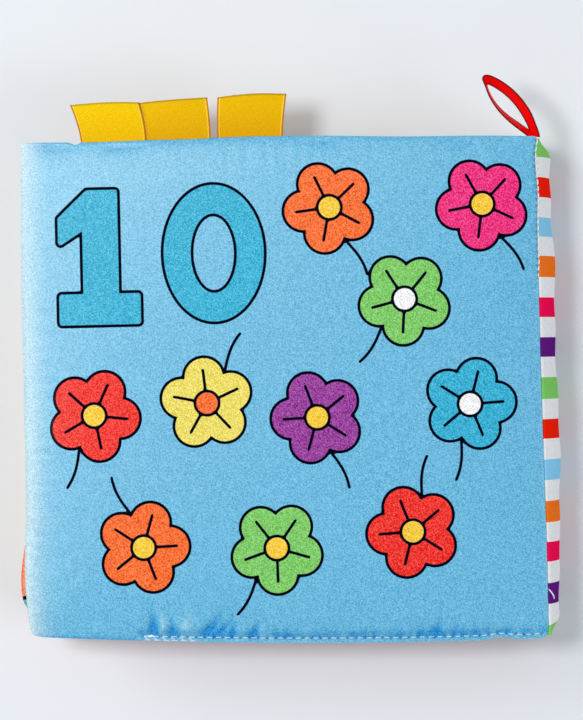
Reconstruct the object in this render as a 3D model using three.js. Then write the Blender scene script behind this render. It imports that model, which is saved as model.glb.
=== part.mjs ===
// Soft cloth counting book for a small child, closed and lying on its front cover.
// Lengths are in millimetres. +Z is up, +X points to the spine, +Y to the top of the pages.
// The origin is the centre of the flat patch on which the front cover lies.

import * as THREE from "three";

// Cloth, thread and clearances
const CLEARANCE = 0.3;
const CLOTH_THICKNESS = 0.5;
const THREAD_THICKNESS = 0.5;
const SEAM_GAP = 0.3;

// Covers, which are padded more than the leaves
const COVER_WIDTH = 155.5;
const COVER_SPINE_HEIGHT = 151.5;
const COVER_FORE_HEIGHT = 149;
const COVER_LIFT = 2.6;
const COVER_THICKNESS = 6.5;
const COVER_CORNER_RADIUS = 2.5;
const COVER_LINES = 12;

// Leaves, from the one on the front cover up; the top one has slipped at its fore edge
const LEAF_WIDTH = 156.5;
const LEAF_SPINE_HEIGHT = 147;
const LEAF_FORE_DROP = 5.5;
const LEAF_LIFT = 6;
const LEAF_SLANT = 3;
const LEAF_THICKNESS = 5;
const LEAF_CORNER_RADIUS = 4;
const LEAF_LINES = 8;
const leafDropShares = [0.3, 0.5, 0.4, 1];
const leafLiftShares = [0.3, 0.55, 0.35, 1];
const leafSlantShares = [0.1, -0.15, 0.2, 1];

// How far the sewn edges of every board stand out between its corners
const FORE_BOW = 1.1;
const TOP_BOW = 1.1;
const BOTTOM_BOW = 1.6;
const SPINE_BOW = 0.5;
const SWELL_POWER = 6;
const BOW_POWER = 4;
const CORNER_FADE_SHARE = 0.05;
const REST_CUT = 0.5;

// Striped strip round the spine
const STRIP_THICKNESS = 0.6;
const STRIP_BULGE = 5.2;
const STRIP_POWER = 2.5;
const STRIP_PINCH_SHARE = 0.5;
const STRIP_PINCH_POWER = 8;
const STRIP_ROUND_LINES = 14;
const STRIP_ALONG_LINES = 12;

// Closing stitch along the bottom of every board
const CLOSING_INSET = 1.4;
const CLOSING_START = 33;
const CLOSING_END = 2;
const CLOSING_STEPS = 12;

// Three ribbon tabs in the top seam of the back cover
const TAB_WIDTH = 19.6;
const TAB_INSET = 18;
const TAB_SPACE = 1.6;
const TAB_RIBBON_THICKNESS = 0.35;
const TAB_SLIT = 0.4;
const TAB_FOLD_STEPS = 4;
const TAB_LEFT_REACH = 11.2;
const TAB_LEFT_LEAN = -2.7;
const TAB_MIDDLE_REACH = 11.4;
const TAB_MIDDLE_LEAN = -1.8;
const TAB_MIDDLE_RISE = 0.9;
const TAB_RIGHT_REACH = 12.4;
const TAB_RIGHT_LEAN = 0.5;

// Ribbon loop at the top of the spine
const LOOP_RIBBON_WIDTH = 5;
const LOOP_RIBBON_THICKNESS = 0.4;
const LOOP_LENGTH = 21.6;
const LOOP_HALF_WIDTH = 2.85;
const LOOP_INSET = 1.9;
const LOOP_DROOP = 1.5;
const LOOP_DIRECTION = THREE.MathUtils.degToRad(131);
const LOOP_LEAN_LEFT = THREE.MathUtils.degToRad(9);
const LOOP_LEAN_RIGHT = THREE.MathUtils.degToRad(33);
const LOOP_START_SHARE = 0.035;
const LOOP_SKEW_POWER = 1.15;
const LOOP_BLUNT_POWER = 0.65;
const LOOP_STEPS = 28;

const { lerp } = THREE.MathUtils;

// Places that follow from the sizes above

const stackStep = LEAF_THICKNESS + CLEARANCE;
const frontCoverZ = COVER_THICKNESS / 2 - REST_CUT;
const firstLeafZ = COVER_THICKNESS - REST_CUT + CLEARANCE + LEAF_THICKNESS / 2;
const lastLeafZ = firstLeafZ + (leafLiftShares.length - 1) * stackStep;
const backCoverZ = lastLeafZ + LEAF_THICKNESS / 2 + CLEARANCE + COVER_THICKNESS / 2;
const spineY = -COVER_LIFT / 2;
const coverSpineX = COVER_WIDTH / 2;
const stripMidZ = (frontCoverZ + backCoverZ) / 2;
const stripHalfSpan = (backCoverZ - frontCoverZ) / 2;

// Lines across a board from -1 to 1, closer together towards its edges
const lineAt = (index, count) => Math.sin((Math.PI / 2) * ((2 * index) / count - 1));

// Share from 1 on the middle of an edge to 0 at its ends
const bowShare = (share) => 1 - Math.abs(share) ** BOW_POWER;

// Share of the edge of the spine, -1 at the bottom and 1 at the top
const alongSpine = (y) => THREE.MathUtils.clamp((y - spineY) / (COVER_SPINE_HEIGHT / 2), -1, 1);

// Spine edge of the covers
const coverSpineAt = (y) => coverSpineX + SPINE_BOW * bowShare(alongSpine(y));

// Inner face of the strip: it stands out most half way between the covers, less at its two ends
function stripInnerAt(y, z) {
  const round = Math.min(Math.abs(z - stripMidZ) / stripHalfSpan, 1);
  const pinch = 1 - STRIP_PINCH_SHARE * Math.abs(alongSpine(y)) ** STRIP_PINCH_POWER;
  return coverSpineAt(y) + CLEARANCE + STRIP_BULGE * pinch * (1 - round ** STRIP_POWER);
}

// A leaf is sewn to the strip by a thread that lies between the two
const leafThreadAt = (y, z) => stripInnerAt(y, z) - CLEARANCE - THREAD_THICKNESS / 2;
const leafSpineAt = (y, z) => leafThreadAt(y, z) - THREAD_THICKNESS / 2 - CLEARANCE;

// Boards in the order in which they lie

const coverSizes = {
  width: COVER_WIDTH,
  spineHeight: COVER_SPINE_HEIGHT,
  foreHeight: COVER_FORE_HEIGHT,
  lift: COVER_LIFT,
  slant: 0,
  thickness: COVER_THICKNESS,
  cornerRadius: COVER_CORNER_RADIUS,
  lines: COVER_LINES,
  spineAt: coverSpineAt,
};

const frontCover = { ...coverSizes, name: "front_cover", z: frontCoverZ, lowest: 0 };
const backCover = { ...coverSizes, name: "back_cover", z: backCoverZ };

const leaves = leafLiftShares.map((liftShare, index) => ({
  name: `leaf_${index + 1}`,
  z: firstLeafZ + index * stackStep,
  width: LEAF_WIDTH,
  spineHeight: LEAF_SPINE_HEIGHT,
  foreHeight: LEAF_SPINE_HEIGHT - LEAF_FORE_DROP * leafDropShares[index],
  lift: LEAF_LIFT * liftShare,
  slant: LEAF_SLANT * leafSlantShares[index],
  thickness: LEAF_THICKNESS,
  cornerRadius: LEAF_CORNER_RADIUS,
  lines: LEAF_LINES,
  spineAt: leafSpineAt,
}));

// Share by which a rounded corner draws an edge line in, near the end of that line
function cornerShare(board, span, share) {
  const half = span / 2;
  const pull = (board.cornerRadius * (1 - Math.SQRT1_2)) / half;
  const power = Math.log(CORNER_FADE_SHARE) / Math.log(1 - board.cornerRadius / half);
  return 1 - pull * Math.abs(share) ** power;
}

// Plan of a board: u runs from -1 at the fore edge to 1 at the spine, v from -1 at the bottom to 1
function planPoint(board, u, v) {
  const across = u * cornerShare(board, board.width, v);
  const up = v * cornerShare(board, board.spineHeight, u);
  const out = (1 - across) / 2;
  const bow = TOP_BOW * ((1 + up) / 2) ** 2 - BOTTOM_BOW * ((1 - up) / 2) ** 2;
  const height = lerp(board.spineHeight, board.foreHeight, out);
  const y = spineY + board.lift * out + (up * height) / 2 + bow * (1 - across ** 2);
  const spineX = board.spineAt(y, board.z);
  const foreX = board.spineAt(spineY, board.z) - board.width - FORE_BOW * bowShare(up) + board.slant * up;
  return { x: lerp(spineX, foreX, out), y };
}

// Swell of the padding: 0 on the sewn edge, rising fast to 1 over most of the board
const swell = (u, v) => Math.sqrt((1 - Math.abs(u) ** SWELL_POWER) * (1 - Math.abs(v) ** SWELL_POWER));

// Height of a board's face over its middle plane, at a depth below the face
function faceHeight(board, u, v, depth) {
  const edge = SEAM_GAP / 2 + CLOTH_THICKNESS;
  return edge + (board.thickness / 2 - edge) * swell(u, v) - depth;
}

// One grid of points on the upper (side 1) or lower (side -1) face of a board
function boardGrid(board, side, depth, skipped) {
  const grid = [];
  for (let i = skipped; i <= board.lines - skipped; i += 1) {
    const row = [];
    for (let j = skipped; j <= board.lines - skipped; j += 1) {
      const u = lineAt(i, board.lines);
      const v = lineAt(j, board.lines);
      const { x, y } = planPoint(board, u, v);
      const lowest = board.lowest === undefined ? -Infinity : board.lowest + depth;
      row.push(new THREE.Vector3(x, y, Math.max(board.z + side * faceHeight(board, u, v, depth), lowest)));
    }
    grid.push(row);
  }
  return grid;
}

// Mesh helpers

// Volume inside a mesh, negative when its faces point inwards
function signedVolume(positions, index) {
  const [a, b, c] = [new THREE.Vector3(), new THREE.Vector3(), new THREE.Vector3()];
  let volume = 0;
  for (let i = 0; i < index.length; i += 3) {
    a.fromArray(positions, 3 * index[i]);
    b.fromArray(positions, 3 * index[i + 1]);
    c.fromArray(positions, 3 * index[i + 2]);
    volume += a.dot(b.cross(c)) / 6;
  }
  return volume;
}

// Geometry from points and triangles, with its faces turned outwards
function outwardGeometry(points, index) {
  const positions = points.flatMap((point) => point.toArray());
  const facesOut = signedVolume(positions, index) > 0;
  const geometry = new THREE.BufferGeometry();
  geometry.setAttribute("position", new THREE.Float32BufferAttribute(positions, 3));
  geometry.setIndex(facesOut ? index : [...index].reverse());
  geometry.computeVertexNormals();
  return geometry;
}

// Closed shell between two grids of points of one size
function shellBetween(front, back) {
  const rows = front.length;
  const columns = front[0].length;
  const at = (layer, i, j) => layer * rows * columns + i * columns + j;
  const index = [];
  const quad = (a, b, c, d) => index.push(a, b, c, a, c, d);
  for (let i = 0; i < rows - 1; i += 1) {
    for (let j = 0; j < columns - 1; j += 1) {
      quad(at(0, i, j), at(0, i + 1, j), at(0, i + 1, j + 1), at(0, i, j + 1));
      quad(at(1, i, j), at(1, i, j + 1), at(1, i + 1, j + 1), at(1, i + 1, j));
    }
  }
  for (let i = 0; i < rows - 1; i += 1) {
    quad(at(0, i, 0), at(1, i, 0), at(1, i + 1, 0), at(0, i + 1, 0));
    quad(at(0, i, columns - 1), at(0, i + 1, columns - 1), at(1, i + 1, columns - 1), at(1, i, columns - 1));
  }
  for (let j = 0; j < columns - 1; j += 1) {
    quad(at(0, 0, j), at(0, 0, j + 1), at(1, 0, j + 1), at(1, 0, j));
    quad(at(0, rows - 1, j), at(1, rows - 1, j), at(1, rows - 1, j + 1), at(0, rows - 1, j + 1));
  }
  return outwardGeometry([...front.flat(), ...back.flat()], index);
}

// Closed bar through rings of four points each
function barThrough(rings) {
  const corners = rings[0].length;
  const index = [0, 2, 1, 0, 3, 2];
  for (let i = 0; i < rings.length - 1; i += 1) {
    for (let k = 0; k < corners; k += 1) {
      const [a, b] = [i * corners + k, i * corners + ((k + 1) % corners)];
      index.push(a, b, b + corners, a, b + corners, a + corners);
    }
  }
  const last = (rings.length - 1) * corners;
  index.push(last, last + 1, last + 2, last, last + 2, last + 3);
  return outwardGeometry(rings.flat(), index);
}

// Four corners of a flat section round a point, given half its width and half its thickness
const sectionRing = (point, wide, thick) => [
  point.clone().add(wide).add(thick),
  point.clone().sub(wide).add(thick),
  point.clone().sub(wide).sub(thick),
  point.clone().add(wide).sub(thick),
];

// Thread through points, square in section; side is the direction across it in plan
function threadGeometry(points, side) {
  const across = side.clone().multiplyScalar(THREAD_THICKNESS / 2);
  const up = new THREE.Vector3(0, 0, THREAD_THICKNESS / 2);
  return barThrough(points.map((point) => sectionRing(point, across, up)));
}

// Colours of cloth, ribbon and thread
const skyBlue = 0x78bfe4;
const white = 0xf4f4f2;
const pageColours = [0xf6d64a, 0x8ccf5e, 0xf59ab8, 0xf6f2e6, 0x6fd0d6, 0xf3a3c0, 0xf2c230, 0xf2792f];
const ribbonYellow = 0xe8b60a;
const ribbonRed = 0xe0121a;

const group = new THREE.Group();

// Add one named piece with its own material
function addPiece(name, geometry, color, roughness) {
  const material = new THREE.MeshStandardMaterial({ color, roughness, metalness: 0 });
  const mesh = new THREE.Mesh(geometry, material);
  mesh.name = name;
  group.add(mesh);
}

const satinRoughness = 0.45;
const clothRoughness = 0.8;
const threadRoughness = 0.6;

// One cloth of a board, on its upper or lower side
function addCloth(board, side, name, color) {
  const geometry = shellBetween(boardGrid(board, side, 0, 0), boardGrid(board, side, CLOTH_THICKNESS, 0));
  addPiece(`${board.name}_${name}`, geometry, color, satinRoughness);
}

// Padding between the two cloths, which ends one grid line inside the seam
function addWadding(board) {
  const depth = CLOTH_THICKNESS + CLEARANCE;
  const geometry = shellBetween(boardGrid(board, 1, depth, 1), boardGrid(board, -1, depth, 1));
  addPiece(`${board.name}_wadding`, geometry, white, clothRoughness);
}

// Thread that closes the bottom seam, on the outside of the cloth on the given side
function addClosingStitch(board, side) {
  const v = -1 + CLOSING_INSET / (board.spineHeight / 2);
  const first = -1 + CLOSING_START / (board.width / 2);
  const last = 1 - CLOSING_END / (board.width / 2);
  const points = [];
  for (let i = 0; i <= CLOSING_STEPS; i += 1) {
    const u = lerp(first, last, i / CLOSING_STEPS);
    const { x, y } = planPoint(board, u, v);
    const rise = faceHeight(board, u, v, 0) + CLEARANCE + THREAD_THICKNESS / 2;
    points.push(new THREE.Vector3(x, y, board.z + side * rise));
  }
  const geometry = threadGeometry(points, new THREE.Vector3(0, 1, 0));
  addPiece(`${board.name}_closing_stitch`, geometry, white, threadRoughness);
}

// Thread along the spine, at the place that xAt gives for each height of the strip's lines
function addSpineStitch(board, xAt, z, length) {
  const points = [];
  for (let i = 0; i <= STRIP_ALONG_LINES; i += 1) {
    const y = spineY + (lineAt(i, STRIP_ALONG_LINES) * length) / 2;
    points.push(new THREE.Vector3(xAt(y, z), y, z));
  }
  const geometry = threadGeometry(points, new THREE.Vector3(1, 0, 0));
  addPiece(`${board.name}_spine_stitch`, geometry, white, threadRoughness);
}

// Front cover, face down on the table
addCloth(frontCover, -1, "outside_cloth", skyBlue);
addWadding(frontCover);
addCloth(frontCover, 1, "inside_cloth", pageColours[0]);
addClosingStitch(frontCover, -1);

// Leaves, each with the page that faces the front cover below
leaves.forEach((leaf, index) => {
  const page = 2 * index;
  addCloth(leaf, -1, "front_cloth", pageColours[page]);
  addWadding(leaf);
  addCloth(leaf, 1, "back_cloth", pageColours[page + 1]);
  addClosingStitch(leaf, 1);
  addSpineStitch(leaf, leafThreadAt, leaf.z, leaf.spineHeight - 2 * leaf.cornerRadius);
});

// Back cover, on top
addCloth(backCover, -1, "inside_cloth", pageColours[1]);
addWadding(backCover);
addCloth(backCover, 1, "outside_cloth", skyBlue);
addClosingStitch(backCover, 1);

// Strip round the spine, from the back cover's seam to the front cover's
function stripGrid(depth) {
  const grid = [];
  for (let i = 0; i <= STRIP_ROUND_LINES; i += 1) {
    const z = lerp(backCoverZ, frontCoverZ, i / STRIP_ROUND_LINES);
    const row = [];
    for (let j = 0; j <= STRIP_ALONG_LINES; j += 1) {
      const y = spineY + (lineAt(j, STRIP_ALONG_LINES) * COVER_SPINE_HEIGHT) / 2;
      row.push(new THREE.Vector3(stripInnerAt(y, z) + STRIP_THICKNESS - depth, y, z));
    }
    grid.push(row);
  }
  return grid;
}
addPiece("spine_strip", shellBetween(stripGrid(0), stripGrid(STRIP_THICKNESS)), white, satinRoughness);

// Topstitches that hold the strip to the two covers
const coverThreadAt = (y) => coverSpineAt(y) + CLEARANCE + THREAD_THICKNESS / 2;
const coverThreadRise = CLEARANCE + THREAD_THICKNESS / 2;
const coverThreadLength = COVER_SPINE_HEIGHT - 2 * COVER_CORNER_RADIUS;
addSpineStitch(frontCover, coverThreadAt, frontCoverZ - coverThreadRise, coverThreadLength);
addSpineStitch(backCover, coverThreadAt, backCoverZ + coverThreadRise, coverThreadLength);

// Height of the back cover's top edge at a place along it, measured from the fore edge
function topEdgeAt(fromFore) {
  const out = 1 - fromFore / COVER_WIDTH;
  const across = 1 - 2 * out;
  const height = lerp(COVER_SPINE_HEIGHT, COVER_FORE_HEIGHT, out);
  return spineY + COVER_LIFT * out + height / 2 + TOP_BOW * (1 - across ** 2);
}

// Section of a folded ribbon: two layers joined by a round fold, x along its reach, y through it
function foldedRibbonShape(reach) {
  const inner = TAB_SLIT / 2;
  const outer = inner + TAB_RIBBON_THICKNESS;
  const centre = reach - outer;
  const shape = new THREE.Shape();
  shape.moveTo(0, -outer);
  shape.lineTo(centre, -outer);
  shape.absarc(centre, 0, outer, -Math.PI / 2, Math.PI / 2, false);
  shape.lineTo(0, outer);
  shape.lineTo(0, inner);
  shape.lineTo(centre, inner);
  shape.absarc(centre, 0, inner, Math.PI / 2, -Math.PI / 2, true);
  shape.lineTo(0, -inner);
  shape.closePath();
  return shape;
}

// A tab starts fromFore along the top seam; it leans sideways and may be longer on its right
function addTab(name, fromFore, reach, lean, rise) {
  const options = { depth: TAB_WIDTH, bevelEnabled: false, curveSegments: TAB_FOLD_STEPS };
  const geometry = new THREE.ExtrudeGeometry(foldedRibbonShape(reach), options);
  const positions = geometry.attributes.position;
  for (let i = 0; i < positions.count; i += 1) {
    const upShare = positions.getX(i) / reach;
    const along = fromFore + positions.getZ(i);
    const tilt = rise * (positions.getZ(i) / TAB_WIDTH) * upShare;
    const x = coverSpineX - COVER_WIDTH + along + lean * upShare;
    const y = topEdgeAt(along) + CLEARANCE + positions.getX(i) + tilt;
    positions.setXYZ(i, x, y, backCoverZ + positions.getY(i));
  }
  geometry.computeVertexNormals();
  addPiece(name, geometry, ribbonYellow, satinRoughness);
}

const middleTabFrom = TAB_INSET + TAB_WIDTH + CLEARANCE;
const rightTabFrom = middleTabFrom + TAB_WIDTH + TAB_SPACE;
addTab("tab_left", TAB_INSET, TAB_LEFT_REACH, TAB_LEFT_LEAN, 0);
addTab("tab_middle", middleTabFrom, TAB_MIDDLE_REACH, TAB_MIDDLE_LEAN, TAB_MIDDLE_RISE);
addTab("tab_right", rightTabFrom, TAB_RIGHT_REACH, TAB_RIGHT_LEAN, 0);

// Loop of narrow ribbon on its edge: from its seat up one side of a lens, round its tip and back
function loopPoint(turnShare) {
  const angle = 2 * Math.PI * turnShare;
  const t = (1 - Math.cos(angle)) / 2;
  const lens = Math.sin(Math.PI * t ** LOOP_SKEW_POWER) ** LOOP_BLUNT_POWER;
  const aside = Math.sign(Math.sin(angle)) * LOOP_HALF_WIDTH * lens;
  const along = new THREE.Vector3(Math.cos(LOOP_DIRECTION), Math.sin(LOOP_DIRECTION), 0);
  const right = new THREE.Vector3(along.y, -along.x, 0);
  const seatX = coverSpineX - LOOP_INSET;
  const seat = new THREE.Vector3(seatX, topEdgeAt(COVER_WIDTH - LOOP_INSET) + CLEARANCE, backCoverZ);
  seat.addScaledVector(along, LOOP_LENGTH * t).addScaledVector(right, aside);
  seat.z -= LOOP_DROOP * t ** 2;
  return seat;
}

// The ribbon leans over more on the right side of the loop, where its face shows
function loopRings() {
  const rings = [];
  const startShare = Math.acos(1 - 2 * LOOP_START_SHARE) / (2 * Math.PI);
  for (let i = 0; i <= LOOP_STEPS; i += 1) {
    const share = lerp(startShare, 1 - startShare, i / LOOP_STEPS);
    const step = (1 - 2 * startShare) / LOOP_STEPS / 2;
    const ahead = loopPoint(Math.min(share + step, 1 - startShare));
    const tangent = ahead.sub(loopPoint(Math.max(share - step, startShare))).normalize();
    const lean = lerp(LOOP_LEAN_RIGHT, LOOP_LEAN_LEFT, THREE.MathUtils.smoothstep(share, 0, 1));
    const sideways = new THREE.Vector3(Math.sin(LOOP_DIRECTION), -Math.cos(LOOP_DIRECTION), 0);
    const wide = sideways.multiplyScalar(Math.sin(lean)).setZ(Math.cos(lean));
    const thick = tangent.clone().cross(wide).normalize().multiplyScalar(LOOP_RIBBON_THICKNESS / 2);
    rings.push(sectionRing(loopPoint(share), wide.multiplyScalar(LOOP_RIBBON_WIDTH / 2), thick));
  }
  return rings;
}
addPiece("hang_loop", barThrough(loopRings()), ribbonRed, satinRoughness);

export default group;
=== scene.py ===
"""Soft cloth counting book, closed and lying on its front cover, seen from above.

Lengths are in millimetres until a mesh is made, in the model's frame: +Z is up, +X points to the
spine and +Y to the top of the pages. The boards' plan and swell repeat the model's own formulas.
"""

import math
from types import SimpleNamespace

import bpy
import numpy as np
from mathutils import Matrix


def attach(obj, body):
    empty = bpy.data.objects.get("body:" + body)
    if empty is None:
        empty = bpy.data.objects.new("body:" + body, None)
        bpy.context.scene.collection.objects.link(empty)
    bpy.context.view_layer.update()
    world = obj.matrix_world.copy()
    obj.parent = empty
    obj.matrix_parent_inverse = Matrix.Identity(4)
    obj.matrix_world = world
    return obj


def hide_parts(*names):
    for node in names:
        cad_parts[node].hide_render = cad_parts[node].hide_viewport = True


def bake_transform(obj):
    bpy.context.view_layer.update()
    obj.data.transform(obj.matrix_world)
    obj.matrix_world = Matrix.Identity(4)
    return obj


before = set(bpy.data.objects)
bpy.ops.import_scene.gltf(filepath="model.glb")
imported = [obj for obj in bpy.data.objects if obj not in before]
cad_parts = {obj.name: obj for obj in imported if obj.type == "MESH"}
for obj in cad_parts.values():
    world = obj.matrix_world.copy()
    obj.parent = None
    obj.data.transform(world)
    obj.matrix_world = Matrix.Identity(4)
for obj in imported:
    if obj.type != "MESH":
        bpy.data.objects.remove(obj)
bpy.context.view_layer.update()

MM = 0.001

# Clearances and cloth
CLEARANCE = 0.3
CLOTH_SPACE = 0.5
THREAD_SPACE = 0.5
SEAM_GAP = 0.3
CLOTH_THICKNESS = 0.2
COVER_WADDING_DEPTH = 2.0
LEAF_WADDING_DEPTH = 1.3
WADDING_INSET = 6

# Covers
COVER_WIDTH = 155.5
COVER_SPINE_HEIGHT = 151.5
COVER_FORE_HEIGHT = 149
COVER_LIFT = 2.6
COVER_THICKNESS = 6.5
COVER_CORNER_RADIUS = 2.5
COVER_TOP_RADIUS = 0.8

# Leaves
LEAF_WIDTH = 156.5
LEAF_SPINE_HEIGHT = 147
LEAF_FORE_DROP = 5.5
LEAF_LIFT = 6
LEAF_SLANT = 3
LEAF_THICKNESS = 5
LEAF_CORNER_RADIUS = 4
LEAF_SLIP = 3.0
LEAF_SINK = 1.3
leaf_drop_shares = [0.3, 0.5, 0.4, 1]
leaf_lift_shares = [0.3, 0.55, 0.35, 1]
leaf_slant_shares = [0.1, -0.15, 0.2, 1]

# Bow of the sewn edges and swell of the padding
FORE_BOW = 1.1
TOP_BOW = 1.1
BOTTOM_BOW = 1.6
SPINE_BOW = 0.5
SWELL_POWER = 6
CROWN_POWER = 3.2
BOW_POWER = 4
CORNER_FADE_SHARE = 0.05
REST_CUT = 0.5

# Striped strip round the spine
STRIP_THICKNESS = 0.6
STRIP_CLOTH = 0.3
STRIP_BULGE = 5.2
STRIP_POWER = 2.5
STRIP_PINCH_SHARE = 0.5
STRIP_PINCH_POWER = 8
STRIP_DRAW = 1.4
STRIP_TOP_SHORT = 1.1
STRIP_BOTTOM_SHORT = 0.9
STRIP_END_PINCH_SHARE = 0.85
STRIP_LOW_PINCH_SHARE = 0.62
STRIP_END_REACH = 6.5
BLOCK_LENGTH = 6.1
FIRST_BLOCK_TOP = 73.6

# Stitches: their arch over the cloth and dip into it, the rows, and the share of the spine's edge
# over which the back cover's row comes up
STITCH_RISE = 0.26
STITCH_DIP = 0.35
CLOSING_INSET = 1.4
CLOSING_START = 33
CLOSING_END = 2
CLOSING_PITCH = 2.68
CLOSING_LENGTH = 2.15
CLOSING_RADIUS = 0.12
SEWN_HEIGHT = 0.4
SEWN_REACH = 3.6
SPINE_PITCH = 2.0
SPINE_LENGTH = 1.75
SPINE_RADIUS = 0.23
SPINE_TUCK = 0.6
SPINE_SINK = 0.95
SPINE_SHOWN = (0.38, 0.5)
LEAF_PITCH = 4.0
LEAF_STITCH_LENGTH = 3.3
LEAF_RADIUS = 0.15
LEAF_TUCK = 0.35
LEAF_RISE = 0.05
LEAF_DIP = 0.1
BACK_TACK_LENGTH = 14.5
BACK_TACK_SPACE = 1.15

# Ribbon tabs
TAB_WIDTH = 19.6
TAB_RIBBON = 0.3
TAB_SLIT = 0.4
TAB_TUCK = 0.9
TAB_SPACE = 1.6
TAB_INSET = 18

# Ribbon loop
LOOP_RIBBON_WIDTH = 5
LOOP_RIBBON_THICKNESS = 0.4
LOOP_LENGTH = 22.9
LOOP_HALF_WIDTH = 2.9
LOOP_SEAT = (77.2, 74.1)
LOOP_DIRECTION = math.radians(129.6)
LOOP_SKEW_RIGHT = 1.1
LOOP_SKEW_LEFT = 1.3
LOOP_BLUNT_POWER = 0.7
LOOP_TUCK = 2.4
LOOP_DROOP = 1.5
LOOP_GAP = 0.02

# Grids: distance between lines, the closer lines along a sewn edge, and numbers of lines and corners
COVER_STEP = 0.54
PAGE_STEP = 1.0
WADDING_STEP = 3
EDGE_REACH = 3
EDGE_LINES = 9
ROLL_LINES = 4
ROLL_RADIUS = 0.6
INNER_EVERY = 4
STRIP_LINES = 161
STRIP_LEVELS = 11
TAB_LINES = 41
TAB_RISE_LINES = 26
TAB_FOLD_LINES = 9
LOOP_RINGS = 181
LOOP_CORNERS = 28
STITCH_RINGS = 8
STITCH_CORNERS = 6

# Painted sheen: the covers' print is painted paler towards the fore edge, in a wide band and a narrow one on
# the rim
EDGE_SHEEN = 0.3
EDGE_SHEEN_REACH = 4.8
RIM_SHEEN = 0.13
RIM_SHEEN_REACH = 1.5

# Prints: half the width of their ink, petals of a flower, corners of a heart's outline, and a
# distance beyond every edge
INK_HALF_WIDTH = 0.45
PAGE_INK_HALF_WIDTH = 0.6
PETALS = 5
HEART_CORNERS = 40
FAR = 50

# Grain of the cloths: its turn in degrees, the pitch of its floats and that of its slanted lines
PRINT_GRAIN = (-47, 0.18, 0.18)
RIBBON_GRAIN = (-50, 0.18, 0.55)
THREAD_GRAIN = (58, 0.24, 0.24)

# Angle in degrees past which an edge between two faces is sharp
SHARP_ANGLE = 55


def linear(red, green, blue):
    """Linear colour with alpha from one written as 0 to 255 in sRGB."""
    shares = np.array([red, green, blue]) / 255
    curved = np.where(shares <= 0.04045, shares / 12.92, ((shares + 0.055) / 1.055) ** 2.4)
    return (*curved, 1.0)


def new_object(name, data):
    """An object with its data, in the scene."""
    item = bpy.data.objects.new(name, data)
    bpy.context.scene.collection.objects.link(item)
    return item


SKY = linear(98, 185, 225)
CYAN = linear(44, 178, 214)
GREEN = linear(128, 204, 106)
ORANGE = linear(250, 112, 34)
PINK = linear(240, 30, 130)
RED = linear(240, 34, 10)
YELLOW = linear(238, 222, 104)
PURPLE = linear(152, 54, 156)
WHITE = linear(246, 247, 249)
SUN = linear(250, 205, 60)
LILAC = linear(190, 150, 215)
TEAL = linear(50, 184, 176)
MINT = linear(170, 222, 190)
ROSE = linear(246, 158, 190)
CREAM = linear(250, 240, 208)
INK = linear(5, 8, 26)

# Boards, from the one on the table up

stack_step = LEAF_THICKNESS + CLEARANCE
front_z = COVER_THICKNESS / 2 - REST_CUT
first_leaf_z = COVER_THICKNESS - REST_CUT + CLEARANCE + LEAF_THICKNESS / 2
leaf_levels = [first_leaf_z + i * stack_step for i in range(len(leaf_lift_shares))]
back_z = leaf_levels[-1] + LEAF_THICKNESS / 2 + CLEARANCE + COVER_THICKNESS / 2
spine_y = -COVER_LIFT / 2
cover_spine_x = COVER_WIDTH / 2
strip_mid_z = (front_z + back_z) / 2
strip_half_span = (back_z - front_z) / 2


def smoothstep(value, low, high):
    """Smooth rise from 0 at low to 1 at high."""
    share = np.clip((value - low) / (high - low), 0, 1)
    return share * share * (3 - 2 * share)


def bump(value, middle, width):
    """Bell of height 1 round a middle."""
    return np.exp(-(((value - middle) / width) ** 2))


def bumps(value, rows):
    """Sum of bells, each given by its height, middle and width."""
    return sum(height * bump(value, middle, width) for height, middle, width in rows)


def bow_share(share):
    """1 on the middle of an edge and 0 at its ends: one less the fourth power of the share."""
    return 1 - np.abs(share) ** BOW_POWER


def along_spine(y):
    """Share of the spine's edge, from -1 at its bottom to 1 at its top."""
    return np.clip((y - spine_y) / (COVER_SPINE_HEIGHT / 2), -1, 1)


def cover_spine_at(y):
    """Spine edge of the covers, which bows out between its ends."""
    return cover_spine_x + SPINE_BOW * bow_share(along_spine(y))


def strip_inner_at(y, z):
    """Inner face of the strip: a bulge that is fullest half way up and pinched at both ends."""
    round_share = np.minimum(np.abs(z - strip_mid_z) / strip_half_span, 1)
    pinch = 1 - STRIP_PINCH_SHARE * np.abs(along_spine(y)) ** STRIP_PINCH_POWER
    return cover_spine_at(y) + CLEARANCE + STRIP_BULGE * pinch * (1 - round_share**STRIP_POWER)


def strip_drawn_at(z):
    """How far the stitches draw the strip in from its fullest bulge."""
    return STRIP_DRAW * (1 - np.minimum(np.abs(z - strip_mid_z) / strip_half_span, 1) ** STRIP_POWER)


def leaf_thread_at(y, z):
    """Middle of the thread that holds a leaf to the strip."""
    return strip_inner_at(y, z) - strip_drawn_at(z) - CLEARANCE - THREAD_SPACE / 2


def leaf_spine_at(y, z):
    """Spine edge of a leaf, one clearance short of its thread."""
    return leaf_thread_at(y, z) - THREAD_SPACE / 2 - CLEARANCE


def no_shift(across, up):
    """No unevenness."""
    return 0, 0


def tab_edge_dip(from_fore):
    """How far the back cover's top edge hangs below an even bow, most of all under the tabs."""
    return 0.3 + bumps(from_fore, [(0.6, 24, 15), (0.45, 49, 13), (0.4, 114, 18)])


def spine_pull(up):
    """How far the strip's stitches pull the back cover's spine edge in, more towards its top."""
    even = 1.2 * smoothstep(up, -1.3, 0.3) - 0.4 * bump(up, 0.77, 0.08)
    return even * (1 - 0.75 * smoothstep(up, 0.92, 1))


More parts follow.
